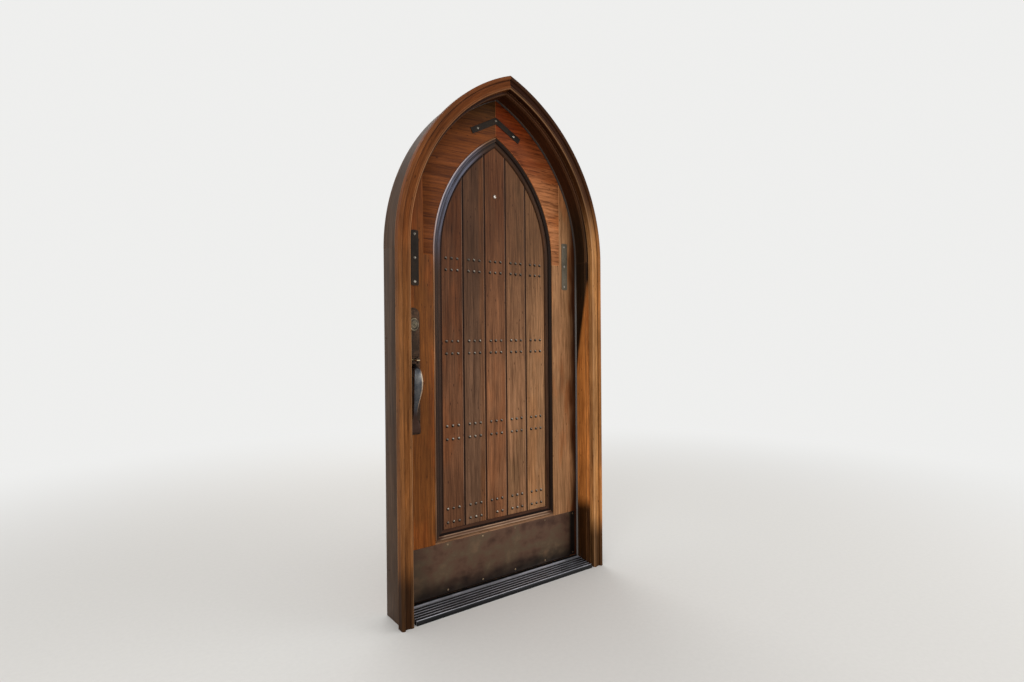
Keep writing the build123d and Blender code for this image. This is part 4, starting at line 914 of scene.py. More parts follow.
class ARCHEDDOOR_OT_frame_wood(bpy.types.Operator):
    """Jambs and casing: upright legs and the two arcs that meet over the middle"""

    bl_idname = "arched_door.frame_wood"
    bl_label = "Jambs and casing"

    def jamb_profile(self):
        """Section of jamb, stop and reveal: bead at the front arris, quirk behind it and the seal's kerf."""
        arc = arc_through((448.5, -81.0), (445.672, -79.828), (444.5, -77.0), 7)
        rest = (
            (444.5, -72.5), (446.0, -72.5), (446.0, -71.0), (444.5, -71.0), (444.5, -12.0), (450.0, -12.0),
            (450.0, -20.0), (453.0, -20.0), (453.0, -12.0), (460.2, -12.0), (460.2, 44.45), (495.2, 44.45),
            (495.2, -81.0),
        )
        return shouldered(eased(np.concatenate((arc, rest)) * 0.001, 0.0005, 3))

    def casing_profile(self):
        """Section of the outer casing: ovolo, flat, cove, fillet and a round bead at the outer edge."""
        ovolo = arc_through((456.5, -104.0), (458.257, -108.243), (462.5, -110.0), 7)
        cove = arc_through((466.5, -110.0), (475.5, -106.6), (484.5, -105.5), 8)
        nose = arc_through((490.5, -107.0), (498.9, -114.5), (507.3, -107.0), 13)
        back = ((507.3, -81.0), (456.5, -81.0))
        outline = np.concatenate((ovolo, cove, ((490.5, -105.5),), nose, back)) * 0.001
        return shouldered(eased(outline, 0.0005, 3), 0.0018)

    def execute(self, context):
        sizes, colours, _ = settings()
        jamb, casing = self.jamb_profile(), self.casing_profile()
        ovolo = (casing[:, 0] > 0.457) & (casing[:, 0] < 0.4597) & (casing[:, 1] < -0.104)
        casing_wear = np.where(ovolo, 0.68, rub(casing))
        for side, word in SIDES:
            material = self.jamb_wood(word, tuple(colours.jamb), 30.0 + 4 * side)
            worked_copy(word + "_jamb", material, "z", sizes.arris)
            node = word + "_head_jamb"
            section_sweep(node + "_arc", jamb, side, material, node, arc_steps=96, wear=rub(jamb))
            tone = tuple(colours.casing if side > 0 else colours.left_casing)
            material = self.casing_wood(word, tone, 32.0 + 4 * side, side > 0)
            node = word + "_casing"
            run = {"foot": 0.0, "arc": False, "wear": casing_wear}
            section_sweep(node + "_leg", casing, side, material, node, **run)
            node = word + "_head_casing"
            section_sweep(node + "_arc", casing, side, material, node, arc_steps=96, wear=casing_wear)
        return {"FINISHED"}

    def jamb_wood(self, word, tone, seed):
        """Varnish in the sunlit tone of the reveal, with painted shadow at the foot and past a slanting line
        on the reveal, a little lighter up the arcs, and dark on the hidden outer side.
        """
        shadow = shade(34, 21, 10)
        # Painted shadow: near-black at the foot, and past the slanting line Z + 5.4 Y on the reveal; up the
        # arcs it is a little lighter
        tints = (
            ("Z", 0.33, 0.25, tone, scaled(tone, 0.08)),
            ((0, 5.4, 1), 0.80, 0.90, tone, shadow),
            ("Z", 1.50, 1.80, shadow, shade(54, 27, 12)),
            ("half", 0.484, 0.490, tone, shade(72, 54, 41)),
        )
        return wood(
            word + "_jamb_wood", tone, shade(172, 102, 46), seed, tints=tints, pale=shade(150, 104, 66),
            behind=(0.0, 0.466),
        )

    def casing_wood(self, word, tone, seed, sunlit):
        """Wood with painted shade up the arc and at the foot; on the sunlit side its round bead is darker
        too.
        """
        arc, apex, low, high = shade(100, 56, 26), shade(98, 52, 22), 1.10, 1.55
        bead = ()
        if sunlit:
            arc, apex, low, high = shade(60, 33, 14), shade(40, 18, 7), 1.42, 1.70
            bead = (("half", 0.482, 0.490, (1, 1, 1), (0.80, 0.70, 0.60)),)
        # Painted shade: dark at the foot, and darker up the arc, most on the sunlit right side
        tints = (
            ("Z", 0.26, 0.14, tone, scaled(tone, 0.19, 0.19, 0.20)),
            ("Z", low, high, tone, arc),
            ("Z", 1.70, 2.00, arc, apex),
        )
        return wood(
            word + "_casing_wood", tone, scaled(tone, 1.25, 1.2, 1.1), seed, share=0.4, tints=tints + bead,
            pale=shade(184, 138, 96), spec=0.06,
        )


# Small metal pieces on the leaf


class ARCHEDDOOR_OT_studs(bpy.types.Operator):
    """Hammered studs, three to a row on each plank, but for the one that has fallen out"""

    bl_idname = "arched_door.studs"
    bl_label = "Studs"

    def places(self):
        """X and Z of every stud but the lost one, the first in the lowest row of the middle plank."""
        centres = (np.arange(PLANKS) + 0.5) * PLANK_PITCH - PANEL
        steps = (-STUD_SPACING, 0.0, STUD_SPACING)
        places = [(c + d, PANEL_FOOT + z) for c in centres for z in STUD_ROWS for d in steps]
        lost = (PLANKS // 2 * len(STUD_ROWS) + len(STUD_ROWS) - 1) * len(steps)
        return np.delete(np.array(places), lost, axis=0)

    def execute(self, context):
        sizes, _, _ = settings()
        places = self.places()
        each = (len(places), 1, 1)
        draw = np.random.default_rng(5)
        share = np.array((0.0, 1.0, 1.0, 0.93, 0.78, 0.58, 0.36, 0.16, 0.0))[:, None]
        lift = np.array((-0.1, -0.1, 0.12, 0.45, 0.70, 0.87, 0.96, 1.0, 1.0))[:, None]
        turn = np.linspace(0, 2 * np.pi, 12, endpoint=False)
        radius = sizes.stud_radius * draw.uniform(0.93, 1.03, each)
        uneven = 1 + 0.05 * np.sin(3 * turn + draw.uniform(0, 6.28, each))
        x, z = radius * uneven * share * np.cos(turn), radius * uneven * share * np.sin(turn)
        out = sizes.stud_rise * np.broadcast_to(lift, x.shape)
        start = draw.uniform(0, np.pi / 2, each)
        for facet in range(4):
            angle = start + facet * np.pi / 2 + draw.uniform(-0.25, 0.25, each)
            plane = sizes.stud_rise * draw.uniform(0.98, 1.06, each)
            plane = plane - 0.42 * (x * np.cos(angle) + z * np.sin(angle))
            out = np.where(lift > 0, np.minimum(out, plane), out)
        lean_x = draw.uniform(-1, 1, each) * np.tan(sizes.stud_tilt)
        lean_z = draw.uniform(-1, 1, each) * np.tan(sizes.stud_tilt)
        out = out + np.where(lift > 0.2, lean_x * x + lean_z * z, 0)
        middle = places[:, :, None, None]
        points = np.stack((x + middle[:, 0], PLANK_FRONT - out, z + middle[:, 1]), axis=-1)
        # Painted highlight: wear on each head's upper right, at a random strength, carries the pale worn
        # colour
        bright = np.clip(0.3 + 0.85 * np.cos(turn - 0.9) * share, 0, 1) * (lift > 0.4)
        highlight_level = draw.uniform(0.35, 1.0, len(places))
        shells = [tube(stud, wear=bright * level, capped=False) for stud, level in zip(points, highlight_level)]
        iron = metal(
            "stud_iron", shade(34, 28, 24), shade(52, 44, 38), 2.0, rough=0.36, worn=shade(196, 184, 168),
            scale=3.0, bump=0.0001,
        )
        add_piece("stud_heads", shells, iron, "panel_studs", 28.0)
        return {"FINISHED"}


class ARCHEDDOOR_OT_viewer(bpy.types.Operator):
    """Door viewer: turned ring and domed lens outside, tube and eyepiece inside"""

    bl_idname = "arched_door.viewer"
    bl_label = "Viewer"

    def execute(self, context):
        place = (0, PLANK_FRONT, VIEWER_Z)
        brass = metal("viewer_bright", shade(92, 82, 72), shade(146, 134, 120), 6.0, rough=0.26)
        radii = np.array((4.8, 4.8, 5.2, 6.4, 7.6, 8.0, 8.0, 6.0, 6.0, 4.8)) * 0.001
        heights = np.array((-16, 1.6, 2.2, 2.3, 1.9, 1.2, 0, 0, -16, -16)) * 0.001
        ring = lathe(radii, heights, 40, place, capped=False)
        add_piece("viewer_ring", [ring], brass, "viewer_barrel")
        g = Graph("viewer_glass")
        speck = g.noise(g.object_place(), 600.0)
        colour = g.ramp(speck, (0.3, shade(190, 180, 172)), (0.7, shade(226, 214, 206)))
        glass = g.surface(colour, 0.08, Coat_Weight=1.0, Coat_Roughness=0.03)
        radii = np.array((0, 4.7, 4.75, 4.4, 3.2, 1.6, 0)) * 0.001
        heights = np.array((-2.0, -2.0, 0.9, 1.5, 2.1, 2.5, 2.6)) * 0.001
        lens = lathe(radii, heights, 32, place, capped=False)
        add_piece("viewer_dome", [lens], glass, "viewer_lens")
        worked_copy("viewer_eyepiece", brass, ease=0.0)
        return {"FINISHED"}


class ARCHEDDOOR_OT_seals(bpy.types.Operator):
    """Weather seals against the leaf's face and the sweep under it"""

    bl_idname = "arched_door.seals"
    bl_label = "Seals"

    def execute(self, context):
        _, colours, _ = settings()
        g = Graph("seal_rubber_grey")
        place = g.object_place()
        speck = g.noise(place, 240.0)
        dust = g.remap(g.noise(place, 18.0), 0.4, 0.7)
        tone = tuple(colours.seal)
        colour = g.ramp(speck, (0.3, scaled(tone, 0.7)), (0.7, scaled(tone, 1.15)))
        colour = g.mix(dust * 0.4, colour, shade(110, 100, 88))
        # Painted shade: the seal darkens from Z 1.15 up round the arch
        colour = g.mix(g.remap(g.axis(place, "Z"), 1.15, 1.45, 0.0, 0.85), colour, shade(42, 35, 30))
        rubber = g.surface(colour, 0.55, speck, 0.0002, 0.4)
        points = (
            (443.4, -12.0), (443.4, -1.8), (444.9, -0.3), (454.9, -0.3), (456.4, -1.8), (456.4, -12.0),
            (452.8, -12.0), (452.8, -19.8), (450.2, -19.8), (450.2, -12.0),
        )
        profile = eased(np.array(points) * 0.001, 0.0005, 3)
        for side, word in SIDES:
            node = word + "_weather_seal"
            section_sweep(node + "_run", profile, side, rubber, node, foot=SADDLE_TOP + 0.0003)
        worked_copy("bottom_sweep", rubber, "x", 0.0)
        return {"FINISHED"}


class ARCHEDDOOR_OT_saddle(bpy.types.Operator):
    """Fluted threshold, dark between the flutes; its crests and back edge are pale, bare metal with a painted
    reflection
    """

    bl_idname = "arched_door.saddle"
    bl_label = "Threshold"

    def execute(self, context):
        _, colours, _ = settings()
        before_flutes, pitch = 0.0985, 0.015
        g = Graph("saddle_worn_metal")
        place = g.object_place()
        depth = g.axis(place, "Y")
        phase = g.math("FRACT", g.math("DIVIDE", depth + before_flutes, pitch))
        # The pale crests and back edge are bare metal together with a painted reflection
        crest = g.remap(phase, 0.75, 0.80) * g.remap(phase, 0.95, 0.99, 1.0, 0.0)
        fluted = g.remap(depth, -0.026, -0.022, 1.0, 0.0)
        streak = g.noise(place, 260.0, 3.0, stretch=(0.06, 1, 1))
        foot_wear = g.remap(g.noise(place, 6.0, 3.0), 0.38, 0.62)
        bare = crest * fluted * g.remap(streak, 0.35, 0.6, 0.7, 1.0) * (foot_wear * 0.35 + 0.65)
        back_edge = g.remap(depth, -0.024, -0.021) * g.remap(depth, -0.013, -0.010, 1.0, 0.0)
        bare = g.math("MAXIMUM", bare, back_edge * g.remap(foot_wear, 0.2, 0.8, 0.5, 0.95))
        tone = tuple(colours.saddle)
        colour = g.ramp(streak, (0.3, scaled(tone, 0.1)), (0.55, scaled(tone, 0.3)), (0.8, scaled(tone, 0.9)))
        colour = g.mix(bare, colour, shade(232, 234, 246))
        worn_metal = g.surface(colour, streak * 0.3 + 0.22, streak, 0.0002, 0.4, Metallic=0.6)
        worked_copy("threshold_saddle", worn_metal, "x", 0.0004)
        return {"FINISHED"}


def slotted_heads(places, radius, rise, slot, seed):
    """Slotted round heads: a domed disc of straight rows cut short by the circle, low where X is small."""
    draw = np.random.default_rng(seed)
    half = np.array((slot, slot + 0.03, 0.42, 0.7, 0.92, 1.0))
    u = np.concatenate((-half[::-1], half))[:, None]
    v = np.linspace(-1, 1, 13)[None, :]
    across = u * np.ones_like(v)
    upright = v * np.sqrt(np.maximum(1 - u**2, 0))
    far = across**2 + upright**2
    top = rise * np.sqrt(np.maximum(1 - far * 0.86, 0)) - rise * 0.2
    top = np.where(np.abs(across) <= slot, top - 0.55 * rise - 0.0003, top)
    top = np.where(far > 0.999, rise * 0.12, top)
    shells = []
    for x, y, z in places:
        turn = draw.uniform(0, np.pi)
        a = x + radius * (across * np.cos(turn) - upright * np.sin(turn))
        b = z + radius * (across * np.sin(turn) + upright * np.cos(turn))
        front = np.stack((a, y - top, b), axis=-1)
        shells.append(two_sided(front, np.stack((a, np.full_like(a, y + 0.0004), b), axis=-1)))
    return shells


class ARCHEDDOOR_OT_kick_plate(bpy.types.Operator):
    """Thin bronze kick plate that waves a little between its slotted screws"""

    bl_idname = "arched_door.kick_plate"
    bl_label = "Kick plate"

    def execute(self, context):
        sizes, colours, _ = settings()
        sheet = self.sheet(sizes.kick_wave)
        add_piece("kick_plate_sheet", [sheet], self.bronze(tuple(colours.kick)), "kick_plate", 50.0)
        columns = np.linspace(-1, 1, 6) * (KICK_HALF - KICK_SCREW_INSET)
        rows = (KICK_LOW + KICK_SCREW_INSET, KICK_HIGH - KICK_SCREW_INSET)
        places = [(x, -KICK_THICK, z) for x in columns for z in rows]
        bright = metal(
            "kick_screw_metal", shade(120, 98, 76), shade(176, 152, 122), 7.0, rough=0.3, scale=2.0
        )
        heads = slotted_heads(places, 0.004, 0.0012, 0.14, 71)
        add_piece("kick_screw_heads", heads, bright, "kick_plate_screws")
        return {"FINISHED"}

    def sheet(self, kick_wave):
        """A grid that is finer near its edges, with round corners; waves and dents fade out at its rim."""
        half, tall, middle = KICK_HALF, (KICK_HIGH - KICK_LOW) / 2, (KICK_LOW + KICK_HIGH) / 2
        corner, still, rim = 0.003, 0.03, 0.0003
        u = np.linspace(-1, 1, 160)[:, None]
        v = np.linspace(-1, 1, 46)[None, :]
        quarter = np.pi / 4
        x = half * np.sin(u * quarter) / np.sin(quarter) * np.ones_like(v)
        z = tall * np.sin(v * quarter) / np.sin(quarter) * np.ones_like(u)
        over_x = np.maximum(np.abs(x) - (half - corner), 0)
        over_z = np.maximum(np.abs(z) - (tall - corner), 0)
        size = np.hypot(over_x, over_z)
        pull = np.where((over_x > 0) & (over_z > 0), np.minimum(1, corner / np.maximum(size, 1e-9)), 1)
        x = np.where(pull < 1, np.sign(x) * (half - corner + over_x * pull), x)
        z = np.where(pull < 1, np.sign(z) * (tall - corner + over_z * pull), z)
        inner = np.clip(np.minimum(half - np.abs(x), tall - np.abs(z)) / still, 0, 1)
        wave = waves(x / 0.5, z / 0.22, 61) * 0.7 + waves(x / 0.16, z / 0.12, 62) * 0.3
        bump = dents(x, z, 9, 26, (-half, half), (-tall, tall), 0.014, 0.0005)
        front = -KICK_THICK + (wave * 0.5 + 0.2) * kick_wave * inner - bump * inner
        front = np.minimum(front, -0.0006)
        outer = np.ones(x.shape, bool)
        outer[1:-1, 1:-1] = False
        face = np.stack((x, front + rim * outer, z + middle), axis=-1)
        return two_sided(face, np.stack((x, np.zeros_like(x), z + middle), axis=-1))

    def bronze(self, tone):
        """Mottled bronze with level scuffs, darker towards its foot and its left end, and with a painted
        shadow of the frame across its right end.
        """
        g = Graph("kick_bronze_worn")
        place = g.object_place()
        x = g.axis(place, "X")
        blot = g.noise(place, 7.0, 4.0, 0.62)
        cloud = g.noise(place, 13.0, 3.0, 0.5, (1, 1, 1.6))
        scuff = g.noise(place, 210.0, 3.0, 0.7, (0.25, 1, 1.0))
        stops = (0.36, shade(72, 49, 38)), (0.47, tone), (0.55, shade(96, 78, 60)), (0.66, shade(118, 92, 70))
        colour = g.ramp(blot * 0.6 + cloud * 0.4, *stops)
        uneven_height = g.axis(place, "Z") + cloud * 0.09
        for factor, other in (
            (g.remap(scuff, 0.62, 0.74, 0.0, 0.2), shade(138, 112, 88)),
            (g.remap(uneven_height, 0.075, 0.165, 0.92, 0.0), shade(22, 17, 14)),
            # Painted shadow of the frame across the right end
            (g.remap(x, 0.392, 0.412, 0.0, 0.94), shade(14, 9, 7)),
            (g.remap(x, -0.44, -0.28, 0.6, 0.0), shade(48, 36, 26)),
        ):
            colour = g.mix(factor, colour, other)
        return g.surface(colour, cloud * 0.35 + 0.24, scuff + cloud * 0.6, 0.00015, Metallic=0.7)


def forged_section(width, round_by, count):
    """Section of a flat bar: rounded front arrises, and points enough across its face for hammer marks."""
    corners = np.array([(-1, 0), (-1, 1), (1, 1), (1, 0)], float)
    section = eased(corners * (width / 2, IRON_THICK), round_by)
    face = np.linspace(-0.5, 0.5, count) * (width - 0.003)
    sides = section[section[:, 1] < IRON_THICK * 0.99]
    left, right = sides[sides[:, 0] < 0], sides[sides[:, 0] >= 0]
    top = np.stack((face, np.full_like(face, IRON_THICK)), axis=1)
    return np.concatenate((left[np.argsort(left[:, 1])], top, right[np.argsort(-right[:, 1])]))


def hammered(out, a, b, *marks):
    """The face's height, lowered by dents where it is the front of the bar."""
    return np.where(out > IRON_THICK * 0.7, out + dents(a, b, *marks), out)


class ARCHEDDOOR_OT_ironwork(bpy.types.Operator):
    """Two upright forged plates, the bent plate over the head joint, and their screws"""

    bl_idname = "arched_door.ironwork"
    bl_label = "Ironwork"

    def execute(self, context):
        sizes, colours, _ = settings()
        depth, black, grey = sizes.hammer_depth, tuple(colours.iron), tuple(colours.worn_iron)
        irons = (
            metal("forged_black", black, scaled(black, 1.7, 1.5, 1.3), 4.0, rough=0.46, metallic=0.8),
            metal("forged_grey", scaled(grey, 0.8), grey, 5.0, rough=0.5, metallic=0.6),
        )
        for (word, x, low), iron, seed in zip(MENDING_PLATES, irons, (81, 82)):
            bar = self.bar(x, low + MENDING_LENGTH / 2, seed, depth)
            add_piece(word + "_plate_forged", [bar], iron, word + "_mending_plate")
        add_piece("chevron_forged", [self.chevron(depth)], irons[0], "chevron_plate")
        places = [(x, low + step) for _, x, low in MENDING_PLATES for step in MENDING_SCREWS]
        places += [(x, ELBOW_Z - abs(x) * np.tan(ELBOW_SLOPE)) for x in CHEVRON_SCREWS]
        heads = slotted_heads([(x, -IRON_THICK, z) for x, z in places], 0.0052, 0.0017, 0.13, 72)
        bright = metal(
            "iron_screw_metal", shade(120, 112, 102), shade(190, 182, 170), 8.0, rough=0.3, scale=2.0
        )
        add_piece("iron_screw_heads", heads, bright, "ironwork_screws")
        return {"FINISHED"}

    def bar(self, x, middle, seed, depth):
        """An upright bar: its ends are drawn in by a quarter circle and its sides waver a little."""
        width, length, end_round = 0.033, MENDING_LENGTH, 0.005
        profile = forged_section(width, 0.0008, 14)
        along = length / 2 * np.linspace(-1, 1, 70)[:, None]
        past_end = np.maximum(end_round - (length / 2 - np.abs(along)), 0)
        draw_in = end_round - np.sqrt(np.maximum(end_round**2 - past_end**2, 0))
        uneven = 1 + 0.012 * np.sin(along / 0.019 + seed) + 0.01 * np.sin(along / 0.007 + 2 * seed)
        across = profile[:, 0][None, :] * (1 - draw_in / (width / 2)) * uneven
        out = np.broadcast_to(profile[:, 1][None, :], across.shape)
        along = np.broadcast_to(along, across.shape)
        spans = (-width / 2, width / 2), (-length / 2, length / 2)
        out = hammered(out, across, along, seed, 46, *spans, 0.006, depth)
        return tube(np.stack((x + across, -out, middle + along), axis=-1))

    def chevron(self, depth):
        """Two arms that fall from the elbow: each row leans from upright there to square at the end."""
        width, reach = 0.025, 0.122
        profile = forged_section(width, 0.0007, 10)
        step = np.linspace(-1, 1, 91)[:, None]
        arm = np.abs(step)
        sine, cosine, slope = np.sin(ELBOW_SLOPE), np.cos(ELBOW_SLOPE), np.tan(ELBOW_SLOPE)
        shear = slope * (1 - arm)
        offset = profile[:, 0][None, :]
        x = np.sign(step) * (arm * reach + offset * sine - offset * shear * cosine)
        z = ELBOW_Z - arm * reach * slope + offset * cosine + offset * shear * sine
        out = np.broadcast_to(profile[:, 1][None, :], x.shape)
        out = hammered(out, x, z - ELBOW_Z, 83, 60, (-reach, reach), (-0.08, 0.02), 0.006, depth)
        return tube(np.stack((x, -out, z), axis=-1))


# Lock and hinges


def round_topped(half, top, foot, corner):
    """Outline of a plate with a half-round top and round lower corners, anticlockwise from lower left."""
    inner, low = half - corner, foot + corner
    parts = []
    for x, z, radius, start, end, count in (
        (-inner, low, corner, np.pi, 1.5 * np.pi, 7),
        (inner, low, corner, 1.5 * np.pi, 2 * np.pi, 7),
        (0.0, top - half, half, 0.0, np.pi, 28),
    ):
        turn = np.linspace(start, end, count)
        parts.append(np.stack((x + radius * np.cos(turn), z + radius * np.sin(turn)), axis=1))
    return np.concatenate(parts)


def oblong(x0, x1, z0, z1):
    """Outline of a block from its sides, foot and top."""
    return np.array([(x0, z0), (x1, z0), (x1, z1), (x0, z1)])


def stacked(layers, outline):
    """A closed shell from an outline laid up about the lock's upright, each layer pulled in and set out."""
    rings = []
    for pull, height in layers:
        ring = outline(pull)
        rings.append(np.stack((ring[:, 0] + HUB_X, np.full(len(ring), -height), ring[:, 1]), axis=1))
    return tube(np.stack(rings))


def catmull(values, order):
    """Smooth curve through a row of values: a span is a cubic whose end slopes are half the step past it."""
    low = np.clip(np.floor(order).astype(int), 0, len(values) - 2)
    t = order - low
    before = values[np.maximum(low - 1, 0)]
    first, second = values[low], values[low + 1]
    after = values[np.minimum(low + 2, len(values) - 1)]
    slope_1, slope_2 = (second - before) / 2, (after - first) / 2
    return (
        (2 * t**3 - 3 * t**2 + 1) * first + (t**3 - 2 * t**2 + t) * slope_1
        + (3 * t**2 - 2 * t**3) * second + (t**3 - t**2) * slope_2
    )


class ARCHEDDOOR_OT_handleset(bpy.types.Operator):
    """Long back plate with its raised panel, oval cylinder collar, key plug, thumb-piece and bowed grip"""

    bl_idname = "arched_door.handleset"
    bl_label = "Handleset"

    def execute(self, context):
        _, colours, _ = settings()
        tone, bare = tuple(colours.bronze), shade(176, 158, 128)
        dull, lit = scaled(tone, 0.8), scaled(tone, 1.5, 1.3, 1.15)
        self.plate(metal("plate_bronze", dull, lit, 9.0, rough=0.4, worn=bare))
        self.cylinder(bare)
        self.thumb()
        self.grip()
        return {"FINISHED"}

    def plate(self, bronze):
        """Back plate, the raised panel on it, the block for the thumb-piece and two reeds across."""
        plate = stacked(
            ((0.0, 0.0), (0.0, 0.0022), (0.0003, 0.0027), (0.0009, 0.003), (0.004, 0.003)),
            lambda pull: round_topped(0.027 - pull, PLATE_TOP - pull, PLATE_FOOT + pull, 0.003),
        )
        panel = stacked(
            (
                (0.0, 0.0015), (0.0, 0.0058), (0.0006, 0.0068), (0.0016, 0.0074), (0.0022, 0.0072),
                (0.003, 0.0079), (0.0042, 0.008), (0.006, 0.008),
            ),
            lambda pull: round_topped(0.023 - pull, PLATE_TOP - 0.004 - pull, PANEL_LOW + pull, 0.001),
        )
        reeds = [self.reed(PANEL_LOW + rise, 0.0225) for rise in (0.003, 0.0085)]
        add_piece("back_plate_cast", [plate, panel, *self.boss(), *reeds], bronze, "back_plate")

    def boss(self):
        """Block that carries the thumb-piece, in two cheeks and a bridge above and below its slot."""
        foot, top, half, cheek, slot = LATCH_Z - 0.012, PANEL_LOW + 0.001, 0.0165, 0.01, 0.0065
        blocks = []
        for sides in (
            (-half, -cheek, foot, top), (cheek, half, foot, top),
            (-half, half, foot, THUMB_Z - slot), (-half, half, THUMB_Z + slot, top),
        ):
            outline = eased(oblong(*sides), 0.0008, 3)
            middle = outline.mean(0)
            layers = ((1.0, 0.001), (1.0, 0.0074), (0.93, 0.008))
            blocks.append(stacked(layers, lambda share: middle + (outline - middle) * share))
        return blocks

    def reed(self, z, half):
        """Half-round line across the panel."""
        turn = np.linspace(0, 2 * np.pi, 12, endpoint=False)
        x = HUB_X + np.linspace(-half, half, 12)[:, None] * np.ones_like(turn)
        y = np.broadcast_to(-0.0076 - 0.0011 * np.sin(turn), x.shape)
        return tube(np.stack((x, y, np.broadcast_to(z + 0.0013 * np.cos(turn), x.shape)), axis=-1))

    def cylinder(self, bare):
        """Turned collar whose part outside the plate is drawn out upright into an oval, and the key plug."""
        turned = (
            (6.4, -8), (6.4, 12.4), (6.8, 12.9), (9.5, 13), (12.5, 12.8), (14.4, 12), (15.6, 11.4),
            (17, 12.2), (18.6, 12), (19.7, 10.6), (20, 9.2), (20, 7.9), (14, 7.9), (14, -8), (6.4, -8),
        )
        radii, heights = np.array(turned).T * 0.001
        count, stretch = 64, 27.0 / 20.0
        wear = np.broadcast_to(np.isin(np.arange(len(radii)), (3, 7, 8))[:, None], (len(radii), count)) * 0.22
        points, *rest = lathe(radii, heights, count, (HUB_X, 0, LOCK_Z), wear=wear, capped=False)
        share = np.clip((radii - radii[0]) / (radii.max() - radii[0]), 0, 1)
        scale = np.repeat(np.where(heights > 0.0078, 1 + (stretch - 1) * share, 1.0), count)
        points[:, 2] = LOCK_Z + (points[:, 2] - LOCK_Z) * scale
        brass = metal(
            "cylinder_brass", shade(66, 60, 52), shade(98, 88, 74), 12.0, rough=0.36, worn=bare, scale=3.0
        )
        add_piece("cylinder_collar", [(points, *rest)], brass, "lock_cylinder")
        plug = metal("plug_brass", shade(64, 59, 50), shade(104, 95, 78), 13.0, rough=0.28)
        worked_copy("key_plug", plug, ease=0.0)

    def thumb(self):
        """Dished pad: a rounded plate whose middle is lower than its rim, on a hub with two trunnions."""
        pivot = (HUB_X, -0.004, THUMB_Z)
        u = np.linspace(0, 1, 34)[:, None]
        v = np.linspace(0, 2 * np.pi, 28, endpoint=False)[None, :]
        reach = -0.004 - 0.043 * u
        end = np.clip((u - 0.78) / 0.22, 0, 1)
        swell = 0.0045 + 0.006 * np.clip((u - 0.12) / 0.2, 0, 1) ** 0.7
        half = swell * np.sqrt(np.maximum(1 - end**2, 0.0004))
        flat, tall = power(np.cos(v), 0.6), power(np.sin(v), 0.6)
        x = half * flat
        dish = 0.0009 * (1 - (x / 0.0105) ** 2) * np.clip((u - 0.3) / 0.2, 0, 1)
        height = THUMB_Z + 0.0015 * tall * np.ones_like(u) - dish
        # The pale rim: wear together with a painted highlight along the pad's edges
        rim = np.clip(np.abs(flat) ** 6 + end**4, 0, 1)
        pad = tube(np.stack((HUB_X + x, reach * np.ones_like(v), height), axis=-1), wear=rim)
        hub = lathe((0.0034, 0.0034), (-0.0097, 0.0097), 24, pivot, (1, 0, 0))
        pins = lathe((0.002, 0.002), (-0.0165, 0.0165), 16, pivot, (1, 0, 0))
        block = oblong(-0.004, 0.004, THUMB_Z - 0.0015, THUMB_Z + 0.0015)
        tail = stacked(((0.0, 0.004), (0.0, -0.007)), lambda pull: block)
        worn = shade(226, 206, 166)
        bronze = metal("thumb_bronze", shade(96, 82, 62), shade(150, 130, 98), 14.0, rough=0.28, worn=worn)
        add_piece("thumb_pad", [pad, hub, pins, tail], bronze, "thumb_piece")

    def grip(self):
        """One skin from root to foot: rounded sections whose width, depth and squareness change along it."""
        # Millimetres proud of the plate, height, width and thickness, degrees from level, squareness
        stations = np.array(
            (
                (-0.6, 950, 30, 22, 0, 2), (1.6, 950, 29, 20, 0, 2), (5, 950.2, 24.5, 15.5, 2, 2),
                (12, 949, 23.5, 14, 12, 2), (19.5, 945, 25.5, 14, 32, 2.1), (28, 937, 30, 15, 55, 2.2),
                (33.8, 925, 34.5, 16, 74, 2.3), (36.8, 908, 39, 16.5, 87, 2.4),
                (37.4, 890, 41, 16.5, 95, 2.4), (34.8, 868, 40.5, 16, 100, 2.4),
                (30.6, 850, 37.5, 15.5, 104, 2.3), (24.5, 829, 32, 14.5, 107, 2.2),
                (18, 808, 26, 13, 107, 2.1), (12.6, 788, 22, 11.5, 105, 2.1),
                (8.6, 769, 20.5, 10.5, 101, 2.2), (6, 755, 22, 9.5, 96, 2.5),
                (4.8, 744, 28, 8.5, 92, 2.9), (4.3, 734, 38, 8, 90, 3.4),
                (4.1, 724, 46.5, 7.6, 90, 4), (4, 712, 49.6, 7.4, 90, 4.6), (3.9, 701, 50, 7.2, 90, 5),
                (3.6, 694.5, 49.4, 6.6, 90, 5), (3, 693, 47.8, 5, 90, 5),
            )
        )
        order = np.linspace(0, len(stations) - 1, 110)
        curves = [catmull(column, order)[:, None] for column in stations.T[:5]]
        proud, height, width, thick, turned = curves
        squareness = 2.0 / np.interp(order, np.arange(len(stations)), stations[:, 5])[:, None]
        turn = np.linspace(0, 2 * np.pi, 40, endpoint=False)[None, :]
        x = width / 2 * power(np.cos(turn), squareness)
        away = thick / 2 * power(np.sin(turn), squareness)
        angle = np.radians(turned)
        y = np.minimum(-1000 * IRON_THICK - proud - away * np.sin(angle), -2.2)
        z = height + away * np.cos(angle)
        # Painted highlight down the grip's right edge, carried by the wear into the pale worn colour
        edge = np.clip((np.cos(turn) - 0.45) / 0.35, 0, 1)
        edge = edge * np.clip((height - 770) / 40, 0, 1) * np.clip((944 - height) / 20, 0, 1)
        shell = tube(np.stack((HUB_X + x * 0.001, y * 0.001, z * 0.001), axis=-1), wear=edge)
        material = metal(
            "grip_bronze", shade(72, 74, 79), shade(98, 97, 96), 10.0, rough=0.36, worn=shade(240, 212, 180),
            scale=2.5, below=(shade(62, 42, 32), 0.752, 0.800),
        )
        add_piece("grip_bow", [shell], material, "grip_handle", 60.0)


